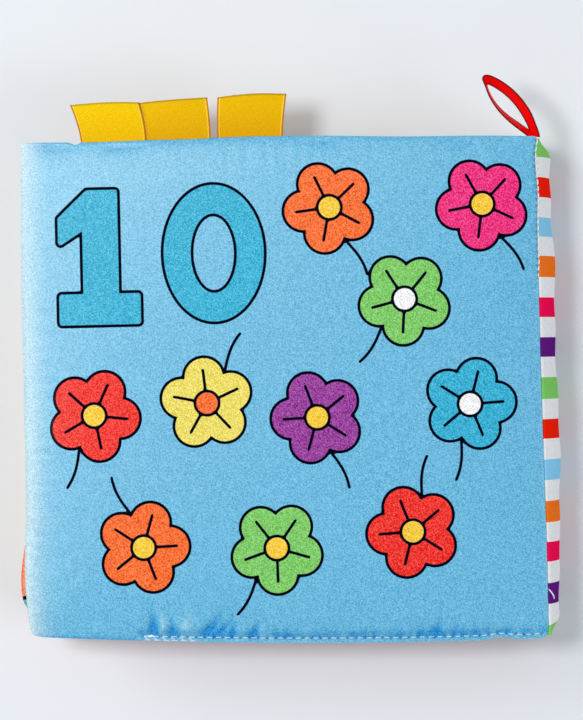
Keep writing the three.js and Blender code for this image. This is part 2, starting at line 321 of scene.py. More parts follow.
def back_cover_shift(across, up):
    """Unevenness of the back cover's sewn edges, each faded out over the board by a high power.

    The fore edge stands out below its middle, the top edge hangs and has a nick beside the tabs,
    the bottom edge has a short notch, and the stitches pull the spine edge in.
    """
    from_fore = (1 + across) * COVER_WIDTH / 2
    near_fore, near_spine = ((1 - across) / 2) ** 8, ((1 + across) / 2) ** 8
    near_top, near_bottom = ((1 + up) / 2) ** 8, ((1 - up) / 2) ** 8
    dx = -near_fore * (0.35 + 1.15 * bump(up, -0.78, 0.22)) - near_spine * spine_pull(up)
    dy = -near_top * tab_edge_dip(from_fore) - near_top**8 * 0.8 * bump(from_fore, 15.9, 1.2)
    return dx, dy + near_bottom**6 * 0.9 * bump(from_fore, 141, 3.5)


def top_leaf_shift(across, up):
    """The top leaf has slipped out at its lower fore corner, and down at its upper one."""
    low = ((1 + up) / 2) ** 8 * LEAF_SINK * smoothstep(-across, 0, 0.8)
    return -(((1 - across) / 2) ** 8) * LEAF_SLIP * bump(up, -0.88, 0.22), -low


cover_sizes = {
    "width": COVER_WIDTH,
    "spine_height": COVER_SPINE_HEIGHT,
    "fore_height": COVER_FORE_HEIGHT,
    "lift": COVER_LIFT,
    "slant": 0,
    "thickness": COVER_THICKNESS,
    "corner_radius": COVER_CORNER_RADIUS,
    "top_radius": COVER_TOP_RADIUS,
    "wadding_depth": COVER_WADDING_DEPTH,
    "spine_at": lambda y, z: cover_spine_at(y),
}
front_cover = SimpleNamespace(name="front_cover", z=front_z, lowest=0, shift=no_shift, **cover_sizes)
back_cover = SimpleNamespace(name="back_cover", z=back_z, lowest=-FAR, shift=back_cover_shift, **cover_sizes)
leaves = [
    SimpleNamespace(
        name=f"leaf_{i + 1}",
        z=leaf_levels[i],
        lowest=-FAR,
        shift=top_leaf_shift if i == len(leaf_levels) - 1 else no_shift,
        width=LEAF_WIDTH - strip_drawn_at(leaf_levels[i]),
        spine_height=LEAF_SPINE_HEIGHT,
        fore_height=LEAF_SPINE_HEIGHT - LEAF_FORE_DROP * leaf_drop_shares[i],
        lift=LEAF_LIFT * leaf_lift_shares[i],
        slant=LEAF_SLANT * leaf_slant_shares[i],
        thickness=LEAF_THICKNESS,
        corner_radius=LEAF_CORNER_RADIUS,
        top_radius=LEAF_CORNER_RADIUS,
        wadding_depth=LEAF_WADDING_DEPTH,
        spine_at=leaf_spine_at,
    )
    for i in range(len(leaf_lift_shares))
]


def corner_share(radius, span, share):
    """How much a rounded corner leaves of an edge line: 1 less a pull times the share to a power."""
    half = span / 2
    pull = radius * (1 - math.sqrt(0.5)) / half
    power = np.log(CORNER_FADE_SHARE) / np.log(1 - radius / half)
    return 1 - pull * np.abs(share) ** power


def plan(board, u, v):
    """Plan of a board: u from -1 at the fore edge to 1 at the spine, v from -1 at the bottom to 1.

    The height runs evenly from the spine's to the fore edge's, the top and bottom edges bow out by a
    parabola across the board, and the fore edge by the bow share along it.
    """
    radius = np.where(v > 0, board.top_radius, board.corner_radius)
    across = u * corner_share(radius, board.width, v)
    up = v * corner_share(radius, board.spine_height, u)
    out = (1 - across) / 2
    bow = TOP_BOW * ((1 + up) / 2) ** 2 - BOTTOM_BOW * ((1 - up) / 2) ** 2
    height = board.spine_height + (board.fore_height - board.spine_height) * out
    y = spine_y + board.lift * out + up * height / 2 + bow * (1 - across**2)
    spine_x = board.spine_at(y, board.z)
    fore_x = board.spine_at(spine_y, board.z) - board.width - FORE_BOW * bow_share(up) + board.slant * up
    dx, dy = board.shift(across, up)
    return spine_x + (fore_x - spine_x) * out + dx, y + dy


def face_height(board, u, v, power=SWELL_POWER):
    """Height of a board's face over its middle: the seam's edge plus a swell that is steep at it."""
    edge = SEAM_GAP / 2 + CLOTH_SPACE
    swell = np.sqrt((1 - np.abs(u) ** power) * (1 - np.abs(v) ** power))
    return edge + (board.thickness / 2 - edge) * swell


# Prints, as signed distances in millimetres from the edges of what is printed


def polyline_distance(x, y, points):
    """Distance of each place from the nearest of the straight runs between points."""
    nearest = np.full(x.shape, float(FAR))
    for (ax, ay), (bx, by) in zip(points[:-1], points[1:]):
        dx, dy = bx - ax, by - ay
        share = np.clip(((x - ax) * dx + (y - ay) * dy) / (dx * dx + dy * dy), 0, 1)
        nearest = np.minimum(nearest, np.hypot(x - ax - share * dx, y - ay - share * dy))
    return nearest


def polygon_distance(x, y, points):
    """Distance from a closed outline, negative inside: each run that is crossed flips the side."""
    closed = [*points, points[0]]
    inside = np.zeros(x.shape, bool)
    for (ax, ay), (bx, by) in zip(closed[:-1], closed[1:]):
        crosses = (ay > y) != (by > y)
        span = by - ay if by != ay else 1
        inside ^= crosses & (x < (bx - ax) * (y - ay) / span + ax)
    return np.where(inside, -1, 1) * polyline_distance(x, y, closed)


def arc(x, y, wide, high, start, end, steps=18):
    """Points on an ellipse's arc, with its angles in degrees."""
    angles = np.radians(np.linspace(start, end, steps + 1))
    return list(zip(x + wide * np.cos(angles), y + high * np.sin(angles)))


# Runs of the brush for each figure, in shares of its width and height
figure_shares = {
    0: [arc(0.5, 0.5, 0.5, 0.5, 0, 360, 36)],
    1: [[(0.12, 0.76), (0.52, 1), (0.52, 0)], [(0.1, 0), (0.94, 0)]],
    2: [[*arc(0.5, 0.7, 0.42, 0.3, 165, -28), (0.06, 0), (0.96, 0)]],
    3: [arc(0.44, 0.76, 0.38, 0.24, 150, -88), arc(0.44, 0.26, 0.46, 0.26, 92, -152)],
    4: [[(0.72, 0), (0.72, 1), (0.04, 0.3), (1, 0.3)]],
    5: [[(0.88, 1), (0.22, 1), (0.14, 0.56), *arc(0.44, 0.33, 0.46, 0.33, 125, -145)]],
    6: [arc(0.5, 0.3, 0.44, 0.3, 0, 360, 30), arc(0.9, 0.3, 0.84, 0.7, 180, 108)],
    7: [[(0.04, 1), (0.96, 1), (0.36, 0)]],
    8: [arc(0.5, 0.77, 0.36, 0.23, 0, 360, 26), arc(0.5, 0.27, 0.46, 0.27, 0, 360, 30)],
    9: [arc(0.5, 0.7, 0.44, 0.3, 0, 360, 30), arc(0.1, 0.7, 0.84, 0.7, 0, -72)],
}


class Print:
    """What is printed on one cloth, painted in order: ground, motifs and the ink round them."""

    def __init__(self, x, y, ground, ink_half):
        self.x, self.y, self.ink_half = x, y, ink_half
        self.ink = np.full(x.shape, float(FAR))
        self.fill = self.ink.copy()
        self.motif = np.tile(np.array(ground), (*x.shape, 1))
        self.ground = self.motif.copy()

    def outline(self, distance):
        """Ink along the line where a distance is 0."""
        self.ink = np.minimum(self.ink, np.abs(distance) - self.ink_half)

    def band(self, distance, colour):
        """A second ground colour where distance is negative, with an inked edge."""
        self.ground[distance < 0] = colour
        self.outline(distance)

    def shape(self, distance, colour, nested=False):
        """A filled shape with an inked edge, over whatever was printed there."""
        self.motif[distance < (0 if nested else 3 * self.ink_half)] = colour
        self.fill = np.minimum(self.fill, distance)
        self.ink = np.maximum(self.ink, -distance)
        self.outline(distance)

    def local(self, x, y, turn):
        """Coordinates dx and dy round a motif's own middle, turned by an angle in degrees."""
        cosine, sine = math.cos(math.radians(turn)), math.sin(math.radians(turn))
        dx, dy = self.x - x, self.y - y
        return dx * cosine + dy * sine, dy * cosine - dx * sine

    def figure(self, number, left, bottom, wide, high, brush, colour):
        """A plain figure drawn with a round brush: distance from its runs less the brush's radius."""
        runs = [[(left + px * wide, bottom + py * high) for px, py in run] for run in figure_shares[number]]
        nearest = np.minimum.reduce([polyline_distance(self.x, self.y, run) for run in runs])
        self.shape(nearest - brush, colour)

    def slab_one(self, left, bottom, wide, high, colour):
        """A plain figure 1 with a flag and a foot: a polygon, grown by a small radius."""
        shares = [
            (0, 0), (1, 0), (1, 0.2), (0.72, 0.2), (0.72, 1), (0.36, 1), (0, 0.8), (0, 0.62),
            (0.32, 0.74), (0.32, 0.2), (0, 0.2),
        ]
        outline = [(left + px * wide, bottom + py * high) for px, py in shares]
        self.shape(polygon_distance(self.x, self.y, outline) - 1.2, colour)

    def ring_zero(self, x, y, outer, inner, colour):
        """A plain figure 0: an ellipse with an ellipse left open in its middle."""
        outside = polygon_distance(self.x, self.y, arc(x, y, *outer, 0, 360, 72)[:-1])
        inside = polygon_distance(self.x, self.y, arc(x, y, *inner, 0, 360, 48)[:-1])
        self.shape(np.maximum(outside, -inside), colour)

    def flower(self, dx, dy, size, colour, centre=CREAM, stem=False):
        """A flower: a ring of round petals, each with a vein, and a round middle.

        Its stem, where it has one, leaves between two petals and bends by a sine.
        """
        if stem:
            runs = [(0.12 * size * math.sin(2.2 * t), -size * (0.8 + 0.85 * t)) for t in np.linspace(0, 1, 9)]
            self.outline(polyline_distance(dx, dy, runs))
        ring, petal, middle = 0.56 * size, 0.44 * size, 0.26 * size
        angles = [2 * math.pi * k / PETALS + math.pi / 2 for k in range(PETALS)]
        distance = np.hypot(dx, dy) - ring
        for angle in angles:
            away = np.hypot(dx - ring * math.cos(angle), dy - ring * math.sin(angle)) - petal
            distance = np.minimum(distance, away)
        self.shape(distance, colour)
        for angle in angles:
            vein = [(r * math.cos(angle), r * math.sin(angle)) for r in (middle, 0.72 * size)]
            self.outline(polyline_distance(dx, dy, vein))
        self.shape(np.hypot(dx, dy) - middle, centre, nested=True)

    def ball(self, dx, dy, size, colour):
        """A ball with a band of another colour across it."""
        distance = np.hypot(dx, dy) - 0.8 * size
        self.shape(distance, colour)
        self.shape(np.maximum(distance, np.abs(dy) - 0.224 * size), CREAM, nested=True)

    def star(self, dx, dy, size, colour):
        """A five-pointed star with blunt points: a polygon, grown by a small radius."""
        radii = [size if k % 2 == 0 else 0.5 * size for k in range(10)]
        angles = [math.pi / 2 + math.pi * k / 5 for k in range(10)]
        outline = [(0.88 * r * math.cos(a), 0.88 * r * math.sin(a)) for r, a in zip(radii, angles)]
        self.shape(polygon_distance(dx, dy, outline) - 0.12 * size, colour)

    def heart(self, dx, dy, size, colour):
        """A heart: the usual curve of a cubed sine and a sum of cosines."""
        angles = np.linspace(0, 2 * math.pi, HEART_CORNERS, endpoint=False)
        wide = 0.85 * size * np.sin(angles) ** 3
        high = 0.85 * size / 16 * (13 * np.cos(angles) - 5 * np.cos(2 * angles) - 2 * np.cos(3 * angles))
        self.shape(polygon_distance(dx, dy, list(zip(wide, high))), colour)

    def fields(self):
        """The print as named values for a mesh's points."""
        return {"ink": self.ink, "fill": self.fill, "motif": self.motif, "ground": self.ground}


def back_cover_print(x, y):
    """Ten flowers and a plain number 10, in the bright colours of the book."""
    page = Print(x, y, SKY, INK_HALF_WIDTH)
    page.slab_one(-67, 21, 23, 39, CYAN)
    page.ring_zero(-21, 41, (15.5, 21), (6.5, 11.5), CYAN)
    flowers = [
        (14, 54, 25, ORANGE, SUN),
        (36, 26, -40, GREEN, WHITE),
        (60, 54, 28, PINK, SUN),
        (-58, -7, -25, RED, SUN),
        (-24, -4, 150, YELLOW, ORANGE),
        (9, -9, 20, PURPLE, SUN),
        (55, -6, -15, CYAN, WHITE),
        (-44, -47, 200, ORANGE, SUN),
        (-4, -48, -35, GREEN, SUN),
        (37, -44, 165, RED, SUN),
    ]
    for fx, fy, turn, colour, centre in flowers:
        page.flower(*page.local(fx, fy, turn), 14, colour, centre, stem=True)
    return page.fields()


def front_cover_print(x, y):
    """The numbers 1, 2 and 3 over a row of flowers."""
    page = Print(x, y, SKY, INK_HALF_WIDTH)
    for number, left, wide, colour in [(1, -54, 19, RED), (2, -12, 24, SUN), (3, 33, 24, GREEN)]:
        page.figure(number, left, 4, wide, 42, brush=5.6, colour=colour)
    for place, colour in enumerate([PINK, ORANGE, PURPLE, CYAN]):
        at = page.local(-54 + 36 * place, -38 + 4 * (place % 2), 12 * place - 18)
        page.flower(*at, 13, colour, SUN, stem=True)
    return page.fields()


cover_prints = {"front_cover": front_cover_print, "back_cover": back_cover_print}


def motif_places(count, high):
    """Places for a page's motifs, row by row below its number, every other row moved over."""
    per_row = {1: [1], 2: [2], 3: [2, 1], 4: [2, 2], 5: [3, 2], 6: [3, 3], 7: [3, 4], 8: [4, 4], 9: [3, 3, 3]}
    rows = per_row[count]
    places = []
    for row, across in enumerate(rows):
        y = high - row * (high + 52) / max(len(rows) - 0.4, 1)
        for k in range(across):
            x = (k - (across - 1) / 2) * 132 / max(across, 2.2) + 6 * (-1) ** row
            places.append((x, y + 3 * (-1) ** k))
    return places


# Number, ground, band, figure, motif, its size and its colours on each page
pages = {
    "front_cover_inside": (0, SUN, ROSE, None, None, 0, []),
    "leaf_1_front": (1, SUN, ORANGE, RED, Print.flower, 34, [PINK]),
    "leaf_1_back": (2, MINT, GREEN, SUN, Print.heart, 24, [RED, PINK]),
    "leaf_2_front": (3, ROSE, LILAC, PURPLE, Print.star, 21, [SUN, CYAN, WHITE]),
    "leaf_2_back": (4, CREAM, ROSE, ORANGE, Print.ball, 20, [CYAN, RED, GREEN, PURPLE]),
    "leaf_3_front": (5, CREAM, SUN, PINK, Print.flower, 17, [ORANGE, YELLOW, PURPLE, RED, CYAN]),
    "leaf_3_back": (6, ROSE, PINK, CYAN, Print.heart, 16, [RED, SUN, PURPLE, ORANGE, CYAN, GREEN]),
    "leaf_4_front": (7, SUN, ORANGE, PURPLE, Print.star, 14, [CYAN, PINK, WHITE, GREEN, RED, PURPLE, CREAM]),
    "leaf_4_back": (
        8, ORANGE, TEAL, CREAM, Print.ball, 14, [CYAN, SUN, PINK, WHITE, GREEN, PURPLE, YELLOW, ROSE],
    ),
    "back_cover_inside": (
        9, SKY, ROSE, ORANGE, Print.flower, 12, [PINK, SUN, RED, WHITE, PURPLE, ORANGE, ROSE, YELLOW, RED],
    ),
}


def page_print(x, y, key):
    """A page: a wavy band of ground along the bottom, its number, and as many motifs as that."""
    number, ground, band, figure, motif, size, colours = pages[key]
    page = Print(x, y, ground, PAGE_INK_HALF_WIDTH)
    page.band(y + 61.8 + 3.5 * np.sin(x / 17 + number), band)
    if number:
        page.figure(number, -62, 36, 20, 28, brush=4.2, colour=figure)
        for k, (mx, my) in enumerate(motif_places(number, -12 if number < 3 else 10)):
            at = page.local(mx, my, 25 * math.sin(2.4 * k + number))
            motif(page, *at, size, colours[k % len(colours)])
    return page.fields()


# Materials


def node_tool(name):
    """A new material, a call that adds a node to it with its settings, and its surface shader."""
    material = bpy.data.materials.new(name)
    material.use_nodes = True
    tree = material.node_tree

    def add(kind, settings=None, **sockets):
        node = tree.nodes.new(kind)
        for key, value in (settings or {}).items():
            setattr(node, key, value)
        for key, value in sockets.items():
            socket = node.inputs[int(key[1:])] if key[0] == "i" and key[1:].isdigit() else node.inputs[key]
            if isinstance(value, bpy.types.NodeSocket):
                tree.links.new(value, socket)
            else:
                socket.default_value = value
        return node

    return material, add, tree.nodes["Principled BSDF"], tree.links


def mixed_colour(add, share, low, high):
    """Colour that goes from low to high with share."""
    node = add("ShaderNodeMix", {"data_type": "RGBA"}, i0=share, i6=low, i7=high)
    return node.outputs[2]


def math_of(add, operation, first, second=0.0, third=0.0):
    """One sum on two or three numbers."""
    node = add("ShaderNodeMath", {"operation": operation}, i0=first, i1=second, i2=third)
    return node.outputs[0]


def vector_of(add, operation, first, **second):
    """One sum on a colour or other vector, with a second one or a number."""
    return add("ShaderNodeVectorMath", {"operation": operation}, i0=first, **second).outputs[0]


def stored(add, name, output="Fac"):
    """A value that the points of a mesh carry."""
    return add("ShaderNodeAttribute", {"attribute_name": name}).outputs[output]


def ranged(add, value, low, high, start=0.0, end=1.0, kind="LINEAR"):
    """Start where a value is at low or past it, end where it is at high or past it, evenly or smoothly."""
    sockets = {"i0": value, "i1": low, "i2": high, "i3": start, "i4": end}
    return add("ShaderNodeMapRange", {"interpolation_type": kind}, **sockets).outputs[0]


def colour_ramp(add, value, stops, interpolation="LINEAR"):
    """Colour that follows a value, from stops of a place and a colour."""
    node = add("ShaderNodeValToRGB", i0=value)
    node.color_ramp.interpolation = interpolation
    elements = node.color_ramp.elements
    for number, (place, colour) in enumerate(stops):
        element = elements[number] if number < 2 else elements.new(place)
        element.position = place
        element.color = colour
    return node.outputs[0]


def printed_edge(add, name):
    """1 where a stored distance is negative and 0 outside it, with an edge a tenth of a millimetre wide."""
    return ranged(add, stored(add, name), 0.06, -0.06, kind="SMOOTHSTEP")


def satin_grain(add, place, turn, pitch, lines):
    """Slanted lines of a satin weave, the brightness of its floats, and a softer unevenness, 0 to 1.

    The lines are a set distance apart. Each float, of one pitch, is a cell with a brightness of its
    own, longer along the lines than across them.
    """
    turned = add("ShaderNodeMapping", Vector=place, Rotation=(0, 0, math.radians(turn))).outputs[0]
    scale = 2 * math.pi / (20 * lines * MM)
    sockets = {"Vector": turned, "Scale": scale, "Distortion": 2.5, "Detail": 2, "Detail Scale": 1.3}
    wave = add("ShaderNodeTexWave", {"bands_direction": "X"}, **sockets)
    per_pitch = 1 / (pitch * MM)
    long = add("ShaderNodeMapping", Vector=turned, Scale=(per_pitch, 0.6 * per_pitch, per_pitch)).outputs[0]
    floats = add("ShaderNodeTexVoronoi", Vector=long, Scale=1)
    cell = add("ShaderNodeSeparateXYZ", Vector=floats.outputs["Color"])
    uneven = add("ShaderNodeTexNoise", Vector=long, Scale=0.45, Detail=3)
    return wave.outputs["Fac"], cell.outputs[0], uneven.outputs["Fac"]


def cloth_finish(add, shader, links, colour, grain, contrast, painted_glint, depth, lined=0.2):
    """Colour and relief of a woven cloth.

    Its grain, of which the slanted lines make up the share lined, lightens and darkens the colour by
    contrast, adds and takes a little white by painted_glint, a painted glint of its glossy floats, and
    stands a little proud.
    """
    wave, cell, uneven = grain
    tone = math_of(add, "MULTIPLY_ADD", cell, 1 - lined, math_of(add, "MULTIPLY", wave, lined))
    tone = math_of(add, "MULTIPLY_ADD", uneven, 0.5, tone)
    away = math_of(add, "SUBTRACT", tone, 0.75)
    strength = math_of(add, "MULTIPLY_ADD", away, contrast, 1.0)
    shaded = vector_of(add, "SCALE", colour, i3=strength)
    # Painted glint: a little white added and taken with the grain, for the gloss of its floats
    lit = vector_of(add, "ADD", shaded, i1=math_of(add, "MULTIPLY", away, painted_glint))
    links.new(vector_of(add, "MAXIMUM", lit, i1=(0.0, 0.0, 0.0)), shader.inputs["Base Color"])
    relief = math_of(add, "MULTIPLY_ADD", wave, 0.4, uneven)
    bump = add("ShaderNodeBump", Height=relief, Strength=0.6, Distance=depth * MM)
    links.new(bump.outputs[0], shader.inputs["Normal"])


def set_satin(shader, roughness, gloss, sheen):
    """Gloss of polyester satin."""
    shader.inputs["Roughness"].default_value = roughness
    shader.inputs["Specular IOR Level"].default_value = gloss
    shader.inputs["Sheen Weight"].default_value = sheen
    shader.inputs["Sheen Roughness"].default_value = 0.35


def printed_satin(name, fold_shade_tone):
    """Satin with the print that each cloth carries in its points' values; printed ink is less glossy.

    Painted shade: folds go over to the colour times fold_shade_tone, needle holes to dark navy, and
    gloss is lowered in folds. Painted highlight: crests, where the fold's value is negative, and the
    sheen painted along the covers' fore edge go over to warm white.
    """
    material, add, shader, links = node_tool(name)
    ground, motif = stored(add, "ground", "Color"), stored(add, "motif", "Color")
    hole, fold, fade = stored(add, "hole"), stored(add, "fold"), stored(add, "fade")
    filled, lined = printed_edge(add, "fill"), printed_edge(add, "ink")
    inked = mixed_colour(add, lined, mixed_colour(add, filled, ground, motif), INK)
    # Painted highlight on crests, where the fold value is negative
    crest_highlight = math_of(add, "MAXIMUM", math_of(add, "MULTIPLY", fold, -1.0), 0.0)
    # Painted shade in folds
    light_painted = mixed_colour(add, fold, inked, vector_of(add, "MULTIPLY", inked, i1=fold_shade_tone))
    # Painted sheen along the fore edge and painted highlight on crests: both go over to warm white
    light_painted = mixed_colour(add, math_of(add, "ADD", fade, crest_highlight), light_painted, linear(250, 250, 238))
    # Painted shade: needle holes go over to dark navy
    hole_shaded = mixed_colour(add, math_of(add, "MULTIPLY", hole, 0.85), light_painted, linear(14, 36, 78))
    grain = satin_grain(add, add("ShaderNodeTexCoord").outputs["Object"], *PRINT_GRAIN)
    bare = math_of(add, "SUBTRACT", 1.0, lined)
    contrast = math_of(add, "MULTIPLY_ADD", filled, 0.06, 0.34)
    painted_glint = math_of(add, "MULTIPLY", math_of(add, "MULTIPLY_ADD", filled, 0.02, 0.23), bare)
    cloth_finish(add, shader, links, hole_shaded, grain, contrast, painted_glint, depth=0.04)
    set_satin(shader, roughness=0.33, gloss=0.85, sheen=0)
    shader.inputs["Specular Tint"].default_value = (1.0, 0.98, 0.86, 1.0)
    matted = math_of(add, "MULTIPLY", math_of(add, "MULTIPLY_ADD", filled, -0.62, 0.85), bare)
    # Gloss is lowered where the fold value paints shade
    dull = math_of(add, "MULTIPLY_ADD", math_of(add, "MAXIMUM", fold, 0.0), -0.85, 1.0)
    links.new(math_of(add, "MULTIPLY", matted, dull), shader.inputs["Specular IOR Level"])
    return material


def strip_satin(name):
    """Satin printed with blocks of six colours and a white one after each, counted down the strip."""
    material, add, shader, links = node_tool(name)
    colours = [
        linear(134, 214, 106), linear(255, 36, 14), linear(142, 214, 250), linear(255, 124, 36),
        linear(255, 18, 88), linear(100, 30, 132),
    ]
    blocks = [block for colour in colours for block in (colour, WHITE)]
    share = math_of(add, "FRACT", math_of(add, "DIVIDE", stored(add, "block"), len(blocks)))
    stops = [(k / len(blocks), block) for k, block in enumerate(blocks)]
    grain = satin_grain(add, add("ShaderNodeUVMap", {"uv_map": "cloth"}).outputs[0], *PRINT_GRAIN)
    printed = colour_ramp(add, share, stops, "CONSTANT")
    cloth_finish(add, shader, links, printed, grain, contrast=0.22, painted_glint=0.0, depth=0.03)
    set_satin(shader, roughness=0.5, gloss=0, sheen=0)
    return material


def ribbon_satin(name, colour, base_shade_colour, edge_colours, half_width, crease_shade_tone, low_edge):
    """Woven ribbon: satin between two woven edges, whose threads show as lines along it.

    Painted shade darkens it in the crease at the middle of its length, and away from there it goes over
    to its colour times base_shade_colour, painted shade towards its base at the seam. The edge on its low
    side is wider by low_edge.
    """
    material, add, shader, links = node_tool(name)
    uv = add("ShaderNodeUVMap", {"uv_map": "cloth"}).outputs[0]
    parts = add("ShaderNodeSeparateXYZ", Vector=uv)
    across, from_crease = parts.outputs[0], math_of(add, "ABSOLUTE", parts.outputs[1])
    inset = math_of(add, "SUBTRACT", half_width * MM, math_of(add, "ABSOLUTE", across))
    inset = math_of(add, "MULTIPLY_ADD", math_of(add, "LESS_THAN", across, 0.0), -low_edge * MM, inset)
    woven = colour_ramp(add, math_of(add, "DIVIDE", inset, 2 * MM), [*edge_colours, (0.42, colour)])
    # Painted shade: darker towards the base at the seam, and in the crease at the top
    away = ranged(add, from_crease, 3 * MM, 13 * MM)
    base_shaded = mixed_colour(add, away, woven, vector_of(add, "MULTIPLY", woven, i1=base_shade_colour))
    crease = ranged(add, from_crease, 0.4 * MM, 0.7 * MM, crease_shade_tone)
    crease_shaded = vector_of(add, "SCALE", base_shaded, i3=crease)
    grain = satin_grain(add, uv, *RIBBON_GRAIN)
    cloth_finish(add, shader, links, crease_shaded, grain, contrast=0.36, painted_glint=0.02, depth=0.03, lined=0.6)
    set_satin(shader, roughness=0.5, gloss=0.03, sheen=0)
    return material


def thread_finish(name):
    """Twisted white sewing thread: slanted plies across a soft pale yarn."""
    material, add, shader, links = node_tool(name)
    grain = satin_grain(add, add("ShaderNodeTexCoord").outputs["Object"], *THREAD_GRAIN)
    white = mixed_colour(add, grain[1], linear(226, 234, 242), linear(248, 250, 252))
    cloth_finish(add, shader, links, white, grain, contrast=0.12, painted_glint=0.0, depth=0.03)
    set_satin(shader, roughness=0.6, gloss=0.2, sheen=0.2)
    return material


def wadding_finish(name):
    """Loose white fibre: tangled noise at two sizes."""
    material, add, shader, links = node_tool(name)
    place = add("ShaderNodeTexCoord").outputs["Object"]
    fibre = add("ShaderNodeTexNoise", Vector=place, Scale=900, Detail=6, Distortion=1.5).outputs["Fac"]
    white = mixed_colour(add, fibre, linear(222, 222, 220), linear(250, 250, 248))
    links.new(white, shader.inputs["Base Color"])
    bump = add("ShaderNodeBump", Height=fibre, Distance=0.3 * MM)
    links.new(bump.outputs[0], shader.inputs["Normal"])
    shader.inputs["Roughness"].default_value = 0.95
    return material


cover_material = printed_satin("printed_cover_satin", fold_shade_tone=(0.05, 0.6, 0.9))
page_material = printed_satin("printed_page_satin", fold_shade_tone=(0.6, 0.5, 0.5))
strip_material = strip_satin("striped_strip_satin")
thread_material = thread_finish("white_sewing_thread")
wadding_material = wadding_finish("white_wadding")
yellow_edges = [
    (0.0, linear(192, 112, 4)),
    (0.2, linear(218, 138, 6)),
    (0.25, linear(255, 224, 84)),
    (0.36, linear(250, 210, 56)),
]
yellow = {"edge_colours": yellow_edges, "half_width": TAB_WIDTH / 2, "crease_shade_tone": 0.62, "low_edge": 0}
yellow_material = ribbon_satin("yellow_ribbon_satin", linear(236, 187, 0), (0.88, 0.72, 0.4), **yellow)
light_yellow_material = ribbon_satin(
    "light_yellow_ribbon_satin", linear(247, 203, 2), (0.9, 0.78, 0.4), **yellow
)
red_edges = [(0.0, linear(92, 0, 6)), (0.14, linear(120, 2, 8)), (0.2, linear(236, 6, 10))]
red_material = ribbon_satin(
    "red_ribbon_satin", linear(248, 6, 8), (1, 1, 1), red_edges, LOOP_RIBBON_WIDTH / 2,
    crease_shade_tone=1.0, low_edge=0.4,
)


# Meshes


def mesh_piece(name, points, faces, material, values=None, uv=None):
    """A piece from points in millimetres and faces, smooth but for edges sharper than an angle."""
    mesh = bpy.data.meshes.new(name)
    mesh.from_pydata((np.asarray(points) * MM).tolist(), [], faces)
    mesh.polygons.foreach_set("use_smooth", np.ones(len(mesh.polygons), bool))
    mesh.set_sharp_from_angle(angle=math.radians(SHARP_ANGLE))
    for key, value in (values or {}).items():
        flat = np.asarray(value, np.float32)
        kind, field = ("FLOAT_COLOR", "color") if flat.ndim == 2 else ("FLOAT", "value")
        attribute = mesh.attributes.new(key, kind, "POINT")
        attribute.data.foreach_set(field, flat.ravel())
    if uv is not None:
        corners = np.zeros(len(mesh.loops), np.int32)
        mesh.loops.foreach_get("vertex_index", corners)
        layer = mesh.uv_layers.new(name="cloth")
        layer.data.foreach_set("uv", (np.asarray(uv) * MM)[corners].astype(np.float32).ravel())
    mesh.materials.append(material)
    return new_object(name, mesh)


def join_book(piece, body, node):
    """Makes a piece move with a body and stand for a node."""
    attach(piece, body)
    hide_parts(node)


def grid_quads(index, flip):
    """Quads between the lines of a grid of point numbers."""
    corners = [index[:-1, :-1], index[1:, :-1], index[1:, 1:], index[:-1, 1:]]
    quads = np.stack(corners[::-1] if flip else corners, axis=-1)
    return quads.reshape(-1, 4).tolist()


def tube_faces(points):
    """Faces of tubes, each a row of rings of points, closed at both ends."""
    index = np.arange(points[..., 0].size).reshape(points.shape[:3])
    following = np.roll(index, -1, axis=2)
    quads = np.stack([index[:, :-1], following[:, :-1], following[:, 1:], index[:, 1:]], axis=-1)
    return quads.reshape(-1, 4).tolist() + index[:, 0, ::-1].tolist() + index[:, -1].tolist()


def unit(vectors):
    """Vectors brought to length 1."""
    return vectors / np.maximum(np.linalg.norm(vectors, axis=-1, keepdims=True), 1e-9)


def grid_normals(points):
    """Unit normals of a grid of points, from the differences along its two families of lines."""
    return unit(np.cross(np.gradient(points, axis=0), np.gradient(points, axis=1)))


def between_lines(values, kept, axis):
    """Values of the kept lines of a grid, evenly between them for every line."""
    every = np.arange(kept[-1] + 1)
    cell = np.clip(np.searchsorted(kept, every, side="right") - 1, 0, len(kept) - 2)
    share = (every - kept[cell]) / (kept[cell + 1] - kept[cell])
    low, high = np.take(values, cell, axis), np.take(values, cell + 1, axis)
    return low + (high - low) * (share[:, None] if axis == 0 else share[None, :])


def sunk_layer(layer, outer, side, rows, columns):
    """The kept lines of a layer, sunk until it stays under the outer grid between them too.

    Where the layer, run evenly between its kept lines, comes too near the outer face, all the kept
    points round that cell sink by half as much again as the most that it does so there.
    """
    kept = layer[np.ix_(rows, columns)]
    level = between_lines(between_lines(side * kept[..., 2], rows, 0), columns, 1)
    excess = 1.5 * np.maximum(level - side * (0.25 * outer[..., 2] + 0.75 * layer[..., 2]), 0)
    cells = np.maximum.reduceat(np.maximum.reduceat(excess, rows[:-1], axis=0), columns[:-1], axis=1)
    cells = np.pad(cells, 1)
    around = [cells[:-1, :-1], cells[1:, :-1], cells[:-1, 1:], cells[1:, 1:]]
    kept[..., 2] -= side * np.maximum.reduce(around)
    return kept


